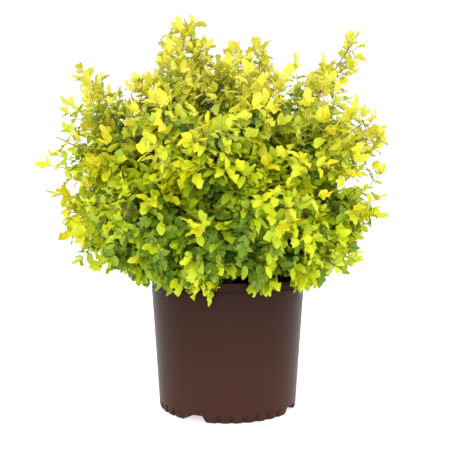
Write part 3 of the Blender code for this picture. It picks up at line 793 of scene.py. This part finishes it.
    def hanging(self, main: Limbs, room: Room, dice: np.random.Generator) -> tuple[Limbs, Array]:
        """Sprigs that arch out from the low limbs and hang down over the pot's rim.

        Args:
            main: The limbs that carry them.
            room: The room of the mass.
            dice: The mass's random numbers.

        Returns:
            The sprigs, and the number of the limb that carries each.
        """
        parent = np.repeat(np.arange(len(main.foot)), (main.length() / self.hanging_step).astype(int))
        count = len(parent)
        foot = main.chosen(parent).at(dice.uniform(0.0, 1.0, count))
        out = unit(foot * [1.0, 1.0, 0.0])
        turn = np.radians(self.hanging_turn) * dice.uniform(-1, 1, (count, 1))
        away = out * np.cos(turn) + np.cross(UP, out) * np.sin(turn)
        reach = dice.uniform(*self.hanging_reach, (count, 1))
        level = np.hypot(foot[:, :1], foot[:, 1:2]) + reach
        drop = foot[:, 2:] - dice.uniform(*self.hanging_ends, (count, 1)) - 1.4 * np.clip(level - 0.150, 0, 1)
        low = (foot[:, 2] < self.hanging_top) & (np.hypot(foot[:, 0], foot[:, 1]) > self.hanging_least)
        low &= drop[:, 0] > self.sprig_least
        for _ in range(7):
            shoots = Limbs(foot, foot + away * reach * 0.9 - UP * drop * 0.3, foot + away * reach - UP * drop)
            leaf_tip = shoots.tip + shoots.heading(1.0) * self.end_leaf * 0.8
            tests = np.concatenate([shoots.at(0.4), shoots.at(0.7), shoots.tip, leaf_tip])
            clear = room.open(tests, 0.003, self.hanging_room) & (room.depth(tests) > -self.hanging_past)
            clear = clear.reshape(4, -1).all(axis=0)
            drop = np.where(clear[:, None], drop, drop * 0.85)
        keep = clear & low & (shoots.length() > self.sprig_least)
        return shoots.chosen(keep), parent[keep]

    def leaves_on(
        self, limbs: Limbs, sprays: Array, step: float, start: float, room: Room, dice: np.random.Generator
    ) -> Leaves:
        """Opposite leaves along limbs, each pair a quarter turn on from the last, and one leaf at each tip.

        Args:
            limbs: The limbs.
            sprays: The chance that all the leaves of a limb share.
            step: The distance from pair to pair.
            start: How far from the foot the first pair grows.
            room: The room of the mass.
            dice: The mass's random numbers.

        Returns:
            The leaves, with or without room.
        """
        length = limbs.length()
        nodes = np.maximum(((length - start) / step).astype(int), 1)
        which = np.repeat(np.arange(len(length)), nodes * 2 + 1)
        order = np.concatenate([np.arange(n * 2 + 1) for n in nodes])
        last = order == nodes[which] * 2
        from_tip = nodes[which] - order // 2
        share = np.clip(1 - (from_tip - 0.75) * step / length[which], 0.0, 1.0)
        share = np.where(last, 1.0, share)
        turns = dice.uniform(0, math.pi, len(length))[which] + (order // 2) * QUARTER + order % 2 * math.pi
        parents = limbs.chosen(which)
        along = parents.heading(share)
        luck = dice.uniform(0, 1, (len(which), 6))
        spread = self.leaf_angle + 9 * np.minimum(from_tip - 1, 2) - 8 + 26 * (luck[:, 0] - 0.5)
        spread = np.radians(np.where(last, 14 * luck[:, 0], spread))
        side = sideways(along, turns + 0.5 * (luck[:, 1] - 0.5))
        direction = unit(along * np.cos(spread)[:, None] + side * np.sin(spread)[:, None])
        direction = unit(direction + UP * 0.10 * (luck[:, 2:3] - 0.75))
        shape = np.where(last, 0.92, np.where(from_tip <= 1, 0.88, 1.0 - 0.05 * np.minimum(from_tip, 5)))
        size = self.leaf_length * shape * (1 + 0.44 * (luck[:, 3] - 0.5)) * (0.86 + 0.28 * sprays[which])
        tilt = dice.normal(0, 0.20, (len(which), 3))
        upper = unit(along * 0.55 + UP * 0.60 + tilt)
        upper = np.where(last[:, None], sideways(along, turns) + tilt, upper)
        root = parents.at(share)
        shaded = np.clip((room.depth(root) - self.shade_depths[0]) / np.diff(self.shade_depths), 0, 1)
        size = size * (1 + self.shade_growth * shaded)
        tips = root + direction * size[:, None]
        age = np.clip((from_tip - 1) / 3, 0, 1)
        return Leaves(root, direction, upper, size, room.depth(tips), age, sprays[which], luck)

    def fitting(self, leaves: Leaves, room: Room) -> Leaves:
        """The leaves in the mass's own room that aren't too deep in the shade."""
        tips = leaves.root + leaves.direction * leaves.size[:, None]
        keep = room.clear(tips, 0.0035, self.sprig_room + 0.004) & room.within_reach(tips)
        return leaves.chosen(keep & (leaves.depth < self.bare_depth))

    def outstanding(self, leaves: Leaves, room: Room) -> Leaves:
        """The leaves of long shoots that are clear of limbs and pot and stay in the part's box."""
        tips = leaves.root + leaves.direction * leaves.size[:, None]
        return leaves.chosen(room.open(tips, 0.0035, 2 * self.shoot_room) & room.in_box(tips))

    def grow(self) -> tuple[Limbs, Limbs, Limbs, Leaves]:
        """Grows the whole crown.

        Returns:
            The stems of the masses, the twigs, the sprigs and the leaves.
        """
        stems, twigs, sprigs, leaves = [], [], [], []
        for index in range(len(self.plan.names)):
            room = Room(self.plan, index)
            dice = np.random.default_rng([self.plan.seed, index, 9])
            stem, side = (self.carried_on(group, room) for group in self.stem_and_twigs(room))
            main = Limbs.join([stem, side])
            enters = self.plan.enters[index]
            bough = self.plan.limbs.chosen([index]).part(enters * self.inner_start, enters)
            bearers = Limbs.join([main, bough])
            fine, parent = self.sprigs(bearers, room, dice)
            low, low_parent = self.hanging(bearers, room, dice)
            long, long_parent = self.shoots(main, room, dice)
            shared = dice.uniform(0, 1, len(bearers.foot))
            groups = (
                (main, np.arange(len(main.foot)), self.long_leaf_step, 0.030, self.fitting),
                (fine, parent, self.leaf_step, 0.006, self.fitting),
                (low, low_parent, self.leaf_step, 0.012, self.outstanding),
                (long, long_parent, self.shoot_leaf_step, 0.012, self.outstanding),
            )
            more, more_parent = self.hanging(bearers, room, np.random.default_rng([self.plan.seed, index, 10]))
            fuller = np.flatnonzero((more.tip @ self.fuller_side > self.fuller_least) & (more.tip[:, 2] < self.rim_hidden))
            more, more_parent = more.chosen(fuller), more_parent[fuller]
            groups += ((more, more_parent, self.leaf_step, 0.012, self.outstanding),)
            for limbs, bearer, step, start, chosen in groups:
                own = dice.uniform(0, 1, len(bearer))
                sprays = np.clip(0.5 + 0.75 * (shared[bearer] - 0.5) + 0.65 * (own - 0.5), 0, 1)
                if len(bearer):
                    leaves.append(chosen(self.leaves_on(limbs, sprays, step, start, room, dice), room))
            LOG.debug("mass %d: %d, %d and %d", index, len(fine.foot), len(low.foot), len(long.foot))
            stems.append(stem)
            twigs.append(side)
            sprigs.append(Limbs.join([fine, low, long, more]))
        return Limbs.join(stems), Limbs.join(twigs), Limbs.join(sprigs), Leaves.join(leaves)


@dataclass
class Blade:
    """The shape of a leaf: pointed and oval with a wavy margin, folded on its midrib and curled to its tip."""

    stations: tuple[float, ...] = (0.08, 0.27, 0.48, 0.69, 0.89)
    width: float = 0.60
    fullness: float = 0.66
    lean: float = 0.90
    fold: float = 0.30
    curl: float = 0.26
    crimp: float = 0.22
    wave: float = 0.095
    thickness: float = 0.012

    def midrib(self) -> Array:
        """Which points of one leaf lie on its midrib, as a share from nought to one."""
        return np.concatenate([np.tile([0.0, 1.0, 0.0, 1.0], len(self.stations)), [1.0, 0.3]])

    def build(self, leaves: Leaves) -> tuple[Array, list[Array]]:
        """Closed leaves, each a thin four-cornered section carried from stalk to tip.

        At length u the blade is half as wide as the width times a power of the sine of pi u, made uneven by the
        crimp from station to station. Its edges stand above the midrib by the fold and go up and down by the wave,
        the whole sinks by the curl times u squared, and the under corner lies a thickness below.

        Args:
            leaves: Where the leaves grow.

        Returns:
            The points and the faces.
        """
        u = np.array(self.stations)
        flip = np.where(np.arange(len(u)) % 2, 1.0, -1.0)
        luck = leaves.luck
        half = self.width / 2 * np.sin(np.pi * u**self.lean) ** self.fullness * (0.88 + 0.24 * luck[:, :1])
        fold = self.fold * (0.3 + 1.4 * luck[:, 1:2])
        sink = self.curl * (1.7 * luck[:, 2:3] - 0.4) * u**2
        along = np.broadcast_to(u, half.shape)
        edges = []
        for side, chance in ((1.0, luck[:, 3:4]), (-1.0, luck[:, 4:5])):
            edge = half * (1 + self.crimp * flip * side * (2 * chance - 0.6))
            rise = fold * edge + self.wave * flip * (1.6 * chance - 0.5) - sink
            edges.append(np.stack([along, side * edge, rise], axis=-1))
        rib = np.stack([along, np.zeros_like(half), -sink], axis=-1)
        under = rib - [0.0, 0.0, self.thickness]
        rings = np.stack([edges[0], rib, edges[1], under], axis=2).reshape(len(half), -1, 3)
        ends = np.zeros((len(half), 2, 3))
        ends[:, 1, 0] = 1.0
        ends[:, 1, 2] = -self.curl * (1.7 * luck[:, 2] - 0.4)
        local = np.concatenate([rings, ends], axis=1) * leaves.size[:, None, None]
        x = leaves.direction
        y = unit(np.cross(leaves.upper, x))
        axes = np.stack([x, y, np.cross(x, y)], axis=1)
        return repeated(leaves.root[:, None] + local @ axes, skin(len(u), 4))


@dataclass
class Foliage:
    """Stems, twigs, sprigs and leaves of the crown as meshes."""

    crown: Crown
    blade: Blade = field(default_factory=Blade)
    colours: dict[Tone, tuple[Colour, Colour]] = field(
        default_factory=lambda: {
            Tone.GOLD: ((0.645, 0.595, 0.003), (0.69, 0.635, 0.008)),
            Tone.YELLOW: ((0.58, 0.605, 0.003), (0.625, 0.65, 0.008)),
            Tone.CHARTREUSE: ((0.52, 0.59, 0.004), (0.58, 0.645, 0.009)),
            Tone.LIME: ((0.42, 0.525, 0.005), (0.485, 0.585, 0.010)),
            Tone.GREEN: ((0.28, 0.39, 0.007), (0.34, 0.455, 0.011)),
            Tone.DEEP: ((0.135, 0.235, 0.008), (0.185, 0.29, 0.012)),
        }
    )
    steps: tuple[float, ...] = (0.90, 0.68, 0.48, 0.30, 0.15)

    def tones(self, leaves: Leaves) -> Array:
        """Deals out the tones by spray: brighter to the outside and the top, greener within and below.

        Args:
            leaves: The leaves.

        Returns:
            The number of each leaf's tone.
        """
        height = leaves.root[:, 2]
        risen = np.clip((height - 0.25) / 0.12, 0, 1)
        light = 0.20 + 0.72 * risen + 0.09 * np.clip((height - 0.44) / 0.18, 0, 1) - 0.42 * leaves.age
        light -= 0.48 * np.clip((leaves.depth - 0.015) / 0.06, -0.15, 1)
        light += (0.92 - 0.30 * risen) * (leaves.spray - 0.45) + 0.10 * (leaves.luck[:, 5] - 0.5)
        return np.digitize(-light, [-step for step in self.steps])

    def build(self) -> None:
        """Makes the pieces."""
        stems, twigs, sprigs, leaves = self.crown.grow()
        LOG.info("%d sprigs, %d leaves", len(sprigs.foot), len(leaves.root))
        masses = [f"foliage_{name}" for name in self.crown.plan.names]
        young = Finish("young bark", (0.15, 0.075, 0.050), (0.26, 0.15, 0.075), 0.6, 220.0, 0.0002)
        green = Finish("sprig bark", (0.22, 0.13, 0.06), (0.34, 0.25, 0.08), 0.55, 160.0, 0.0001)
        for name, limbs, radii, stations, finish, nodes in (
            ("stems", stems, (0.0019, 0.0007), 12, young, masses),
            ("twigs", twigs, (0.0013, 0.0006), 7, young, []),
            ("sprigs", sprigs, (0.0008, 0.0004), 4, green, []),
        ):
            taper = np.tile(np.linspace(*radii, stations), (len(limbs.foot), 1))
            new_piece(name, tubes(limbs, taper, 4 if stations < 5 else 6), finish, nodes)
        each = 8 * len(self.blade.stations)
        tones = self.tones(leaves)
        for number, tone in enumerate(Tone):
            of_tone = np.flatnonzero(tones == number)
            pieces = math.ceil(len(of_tone) * each / MOST_TRIANGLES)
            for part, rows in enumerate(np.array_split(of_tone, max(pieces, 1)), 1):
                if len(rows):
                    # Painted light: the height tint makes the leaves paler and brighter towards the top of the crown,
                    # where it is lit all round.
                    finish = Finish(
                        f"{tone.value} leaf {part}", *self.colours[tone], 0.45, 45.0,
                        tint=(1.07, 1.09, 7.0), tint_heights=(0.38, 0.54), marked=(1.08, 1.08, 2.5),
                    )
                    surface = self.blade.build(leaves.chosen(rows))
                    marks = np.tile(self.blade.midrib(), len(rows))
                    new_piece(f"leaves_{tone.value}_{part}", surface, finish, [], marks)


@dataclass
class Wood:
    """Trunk and boughs with the relief of young bark."""

    plan: CrownPlan
    low: float = 0.2003
    flare_radius: float = 0.0125
    flare_fade: float = 0.006
    collar: float = 0.5
    relief: float = 0.045

    def build(self) -> None:
        """Makes one mesh of the trunk with its flare and leader, and of the boughs swollen at their feet."""
        plan = self.plan
        count = len(plan.forks)
        limbs = plan.limbs.part(0.0, plan.enters)
        boughs = limbs.chosen(np.arange(count))
        steps = np.linspace(0, 1, 48)
        taper = plan.bough_foot_radius + (plan.bough_tip_radius - plan.bough_foot_radius) * steps
        radii = np.tile(taper * (1 + self.collar * np.exp(-steps / 0.05)), (count, 1))
        roots = Limbs(plan.forks, (plan.forks + boughs.foot) / 2, boughs.foot + boughs.heading(0.0) * 0.002)
        low, top = plan.axis(self.low), plan.axis(plan.mix_level + plan.trunk_height)
        trunk = Limbs(low[None], ((low + top) / 2)[None], top[None])
        heights = np.linspace(low[2], top[2], 60)
        shaft = np.array([plan.thickness(height) for height in heights])
        flare = (self.flare_radius - shaft[0]) * np.exp(-(heights - low[2]) / self.flare_fade)
        end = plan.thickness(top[2])
        leader = np.linspace(end, plan.bough_tip_radius, 70)[None]
        surface = joined(
            [
                tubes(boughs, radii, 8, self.relief),
                tubes(roots, np.full((count, 6), plan.bough_foot_radius * (1 + self.collar)), 8),
                tubes(trunk, (shaft + flare)[None], 28, self.relief),
                tubes(limbs.chosen([count]), leader, 12, self.relief),
            ]
        )
        finish = Finish("bark", (0.13, 0.085, 0.060), (0.30, 0.23, 0.16), 0.85, 150.0, 0.0007, detail=8.0)
        nodes = ["trunk"] + [f"bough_{name}" for name in plan.names[:-1]]
        new_piece("trunk_and_boughs", surface, finish, nodes)


def arc(middle: tuple[float, float], radius: float, start: float, end: float, count: int) -> list[tuple]:
    """Points of an arc in a profile, from one angle in degrees to another."""
    angles = np.radians(np.linspace(start, end, count))
    return [(middle[0] + radius * math.cos(a), middle[1] + radius * math.sin(a)) for a in angles]


@dataclass
class Pot:
    """The nursery pot: a turned shell with a collar, drain arches and grooves round its foot."""

    height: float
    foot_radius: float = 0.119
    rim_radius: float = 0.135
    wall: float = 0.0026
    floor: float = 0.0148
    foot_rounding: float = 0.0035
    lip_rounding: float = 0.0009
    collar: float = 0.0137
    step: float = 0.0012
    drain_bearing: float = 242.8
    drain_height: float = 0.011
    drain_below: float = 0.045
    drain_above: float = 0.031
    drain_depth: float = 0.042
    groove_pitch: float = 9.9
    groove_width: float = 0.0096
    groove_height: float = 0.0145
    groove_depth: float = 0.0026
    ledge_mark: float = 0.0012
    bearings: int = 840

    def profile(self) -> tuple[Array, int]:
        """The section from the middle of the underside, out, up the side, over the lip and in again.

        Returns:
            The points as radius and height, and how many of them lie outside, below the ledge.
        """
        taper = (self.rim_radius - self.foot_radius) / self.height
        ledge = self.height - self.collar
        foot, lip = self.foot_rounding, self.lip_rounding
        rim = self.rim_radius - self.step
        under = [(0.04, 0.0), (0.075, 0.0)] + [(r, 0.0) for r in np.linspace(0.0765, 0.1150, 12)]
        under += arc((self.foot_radius - foot, foot), foot, -78, -8, 6)
        heights = [*np.linspace(foot, 0.019, 22), *np.linspace(0.024, ledge - 0.001, 22)]
        under += [(self.foot_radius + taper * h, h) for h in heights]
        under.append((self.foot_radius + taper * ledge, ledge - 0.0004))
        ring = under + arc((self.foot_radius + taper * ledge - 0.0004, ledge - 0.0004), 0.0004, 30, 90, 3)
        ring += [(rim - taper * (self.height - h), h) for h in np.linspace(ledge + 0.0003, self.height - 0.002, 7)]
        ring += arc((rim - lip, self.height - lip), lip, 0, 90, 5)
        ring += arc((rim - self.wall + lip, self.height - lip), lip, 90, 180, 5)
        inner = self.foot_radius - self.wall
        slope = (rim - self.wall - inner) / self.height
        ring += [(inner + slope * h, h) for h in np.linspace(self.height - 0.003, self.floor, 10)]
        return np.array([*ring, (0.04, self.floor)]), len(under)

    def build(self) -> None:
        """Makes the pot as one closed surface of rings, with arches raised and grooves pressed into them.

        A drain arch raises the underside and foot to the lower of its height and its sloping sides. A groove moves
        the side in by its depth times the root of one less its height and width terms.
        """
        ring, outside_count = self.profile()
        turn = np.linspace(0, 2 * np.pi, self.bearings, endpoint=False)
        radius = np.repeat(ring[:, :1], self.bearings, axis=1)
        height = np.repeat(ring[:, 1:], self.bearings, axis=1)
        outside = (np.arange(len(ring)) < outside_count)[:, None]
        bearing = np.degrees(turn) - self.drain_bearing
        across = np.radians((bearing + 45) % 90 - 45) * self.foot_radius
        slope = (self.drain_below - self.drain_above) / 2 / self.drain_height
        arch = np.clip((self.drain_below / 2 - np.abs(across)) / slope, 0, self.drain_height)[None]
        raised = outside & (radius > self.foot_radius - self.drain_depth) & (height < arch)
        groove = bearing % 90 - 45
        pitch = (groove / self.groove_pitch + 1.0) % 1 - 0.5
        width = np.abs(pitch) * math.radians(self.groove_pitch) * self.foot_radius
        cut = 1 - (width[None] / (self.groove_width / 2)) ** 2 - (height / self.groove_height) ** 4
        pressed = outside & (np.abs(groove) < self.groove_pitch * 3) & (radius > self.foot_radius - 0.006)
        inward = np.where(pressed, np.clip(cut, 0, 1) ** 0.35, 0.0)
        radius = radius - inward * self.groove_depth
        # Painted shade: the grooves darken as far as they are pressed in, and a band at the ledge darkens by half.
        ledge = np.abs(height - (self.height - self.collar)) < self.ledge_mark
        painted_shade = np.where(outside & (radius > self.foot_radius - 0.006), inward + 0.5 * ledge, 0.0)
        height = np.where(raised, arch, height)
        points = np.stack([radius * np.cos(turn), radius * np.sin(turn), height], axis=-1).reshape(-1, 3)
        poles = [[0.0, 0.0, 0.0], [0.0, 0.0, self.floor]]
        surface = np.concatenate([points, poles]), skin(len(ring), self.bearings)
        # Painted shade: the height tint darkens the shell to less than half towards its top, where the crown shades
        # it.
        finish = Finish(
            "pot plastic", (0.048, 0.0183, 0.0125), (0.057, 0.0222, 0.0150), 0.38, 240.0, 0.00004, 0.08, 2.0,
            tint=(0.45, 0.45, 0.45), tint_heights=(0.03, 0.22), marked=(0.68, 0.68, 0.68),
        )
        # The marks carry the painted shade of the grooves and the ledge band to the finish's marked tint.
        marks = np.concatenate([np.clip(painted_shade, 0, 1).reshape(-1), [0.0, 0.0]])
        new_piece("pot_shell", surface, finish, ["pot"], marks)


@dataclass
class GrowingMix:
    """The bark mix: an uneven bed with chips of bark on it."""

    level: float = 0.196
    rise: float = 0.003
    radius: float = 0.1282
    foot_share: float = 0.915
    foot: float = 0.018
    chips: int = 1500
    chip_size: float = 0.0060

    def bed_height(self, x: Array, y: Array) -> Array:
        """The height of the bed: a low dome with forty small waves of chance directions."""
        dice = np.random.default_rng(7)
        height = self.level + self.rise * (1 - (x**2 + y**2) / self.radius**2)
        for wave, phase in zip(dice.normal(0, 260, (40, 2)), dice.uniform(0, 2 * np.pi, 40)):
            height = height + 0.0006 * np.sin(wave[0] * x + wave[1] * y + phase)
        return height

    def bed(self) -> tuple[Array, list[Array]]:
        """The bed as rings from the middle of its foot, up its side and in over its top."""
        bearings = 180
        turn = np.linspace(0, 2 * np.pi, bearings, endpoint=False)
        reach = np.concatenate([[self.foot_share], np.linspace(1, 0.02, 56)])[:, None] * self.radius
        x, y = reach * np.cos(turn), reach * np.sin(turn)
        z = np.where(np.arange(len(reach))[:, None] == 0, self.foot, self.bed_height(x, y))
        points = np.stack([x, y, z], axis=-1).reshape(-1, 3)
        poles = [[0.0, 0.0, self.foot], [0.0, 0.0, self.level + self.rise]]
        return np.concatenate([points, poles]), skin(len(reach), bearings)

    def chip_bodies(self) -> tuple[Array, list[Array]]:
        """Chips of bark: flat rings of five corners with a pole above and below, turned and strewn by chance."""
        dice = np.random.default_rng(11)
        place = dice.uniform(0, 2 * np.pi, self.chips)
        reach = (self.radius - 0.008) * np.sqrt(dice.uniform(0.03, 1, self.chips))
        middle = np.stack([reach * np.cos(place), reach * np.sin(place)], axis=1)
        z = self.bed_height(middle[:, 0], middle[:, 1]) + 0.0006
        turn = np.linspace(0, 2 * np.pi, 5, endpoint=False)
        spread = dice.uniform(0.6, 1.3, (self.chips, 2, 5)) * self.chip_size / 2
        long = dice.uniform(1.0, 2.0, (self.chips, 1, 1))
        local = np.stack(
            [spread * np.cos(turn) * long, spread * np.sin(turn) / long, np.zeros_like(spread)], axis=-1
        )
        local[:, 0, :, 2], local[:, 1, :, 2] = -0.0006, 0.0006
        local = local.reshape(self.chips, -1, 3)
        poles = np.zeros((self.chips, 2, 3))
        poles[:, 0, 2], poles[:, 1, 2] = -0.0010, 0.0011
        local = np.concatenate([local, poles], axis=1)
        x = unit(np.concatenate([dice.normal(0, 1, (self.chips, 2)), dice.normal(0, 0.22, (self.chips, 1))], axis=1))
        y = unit(np.cross(UP + dice.normal(0, 0.22, (self.chips, 3)), x))
        axes = np.stack([x, y, np.cross(x, y)], axis=1)
        centre = np.concatenate([middle, z[:, None]], axis=1)
        return repeated(centre[:, None] + local @ axes, skin(2, 5))

    def build(self) -> None:
        """Makes the bed and the chips."""
        earth = Finish("growing mix", (0.018, 0.010, 0.007), (0.085, 0.050, 0.030), 0.95, 240.0, 0.002)
        new_piece("mix_bed", self.bed(), earth, ["growing_mix"])
        chip = Finish("bark chips", (0.050, 0.026, 0.016), (0.22, 0.125, 0.070), 0.9, 60.0, 0.0006)
        new_piece("mix_chips", self.chip_bodies(), chip, [])


@dataclass
class Studio:
    """Floor, lights and camera: white all round, soft light from above and from the right in front."""

    lens: float = 44.9
    eye: Colour = (0.0, -1.0188, 0.2999)
    shift: tuple[float, float] = (0.005, 0.0072)
    aim: Colour = (0.0, 0.0, 0.38)
    half_floor: float = 6.0
    daylight: float = 1.15

    def lamp(self, name: str, place: Colour, size: float, power: float) -> None:
        """Adds a soft square light that faces the plant.

        Args:
            name: The light's name.
            place: Where it stands.
            size: The length of its sides.
            power: Its power in watts.
        """
        light = bpy.data.lights.new(name, "AREA")
        light.size = size
        light.energy = power
        lamp = bpy.data.objects.new(name, light)
        lamp.location = place
        towards = np.array(self.aim) - np.array(place)
        tilt = math.acos(-towards[2] / np.linalg.norm(towards))
        lamp.rotation_euler = (tilt, 0.0, math.atan2(towards[0], -towards[1]) + math.pi)
        bpy.context.scene.collection.objects.link(lamp)

    def build(self) -> None:
        """Makes the studio."""
        scene = bpy.context.scene
        half = self.half_floor
        mesh = bpy.data.meshes.new("floor")
        mesh.from_pydata([(-half, -half, 0), (half, -half, 0), (half, half, 0), (-half, half, 0)], [], [(0, 1, 2, 3)])
        white = (0.90, 0.90, 0.90)
        mesh.materials.append(Finish("floor", white, white, 0.9, 1.0, glow=0.60).build())
        floor = bpy.data.objects.new("floor", mesh)
        scene.collection.objects.link(floor)
        world = bpy.data.worlds.new("studio")
        world.use_nodes = True
        background = world.node_tree.nodes["Background"]
        background.inputs["Color"].default_value = (1.0, 1.0, 1.0, 1.0)
        background.inputs["Strength"].default_value = self.daylight
        scene.world = world
        self.lamp("right", (1.4, -1.2, 0.40), 1.0, 3.2)
        self.lamp("overhead", (-0.1, -0.3, 2.2), 1.4, 4.5)
        self.lamp("front", (-0.3, -2.4, 0.9), 1.4, 16.0)
        data = bpy.data.cameras.new("camera")
        data.lens = self.lens
        data.sensor_width = 36.0
        data.shift_x, data.shift_y = self.shift
        camera = bpy.data.objects.new("camera", data)
        camera.location = self.eye
        camera.rotation_euler = (QUARTER, 0.0, 0.0)
        scene.collection.objects.link(camera)
        scene.camera = camera
        scene.view_settings.view_transform = "Standard"


def main() -> None:
    """Builds every piece in order."""
    logging.basicConfig(level=logging.INFO, format="%(message)s")
    _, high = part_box("pot")
    Pot(height=high[2]).build()
    GrowingMix().build()
    plan = CrownPlan()
    Foliage(Crown(plan)).build()
    Wood(plan).build()
    Studio().build()
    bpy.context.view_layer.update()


if __name__ == "__main__":
    main()
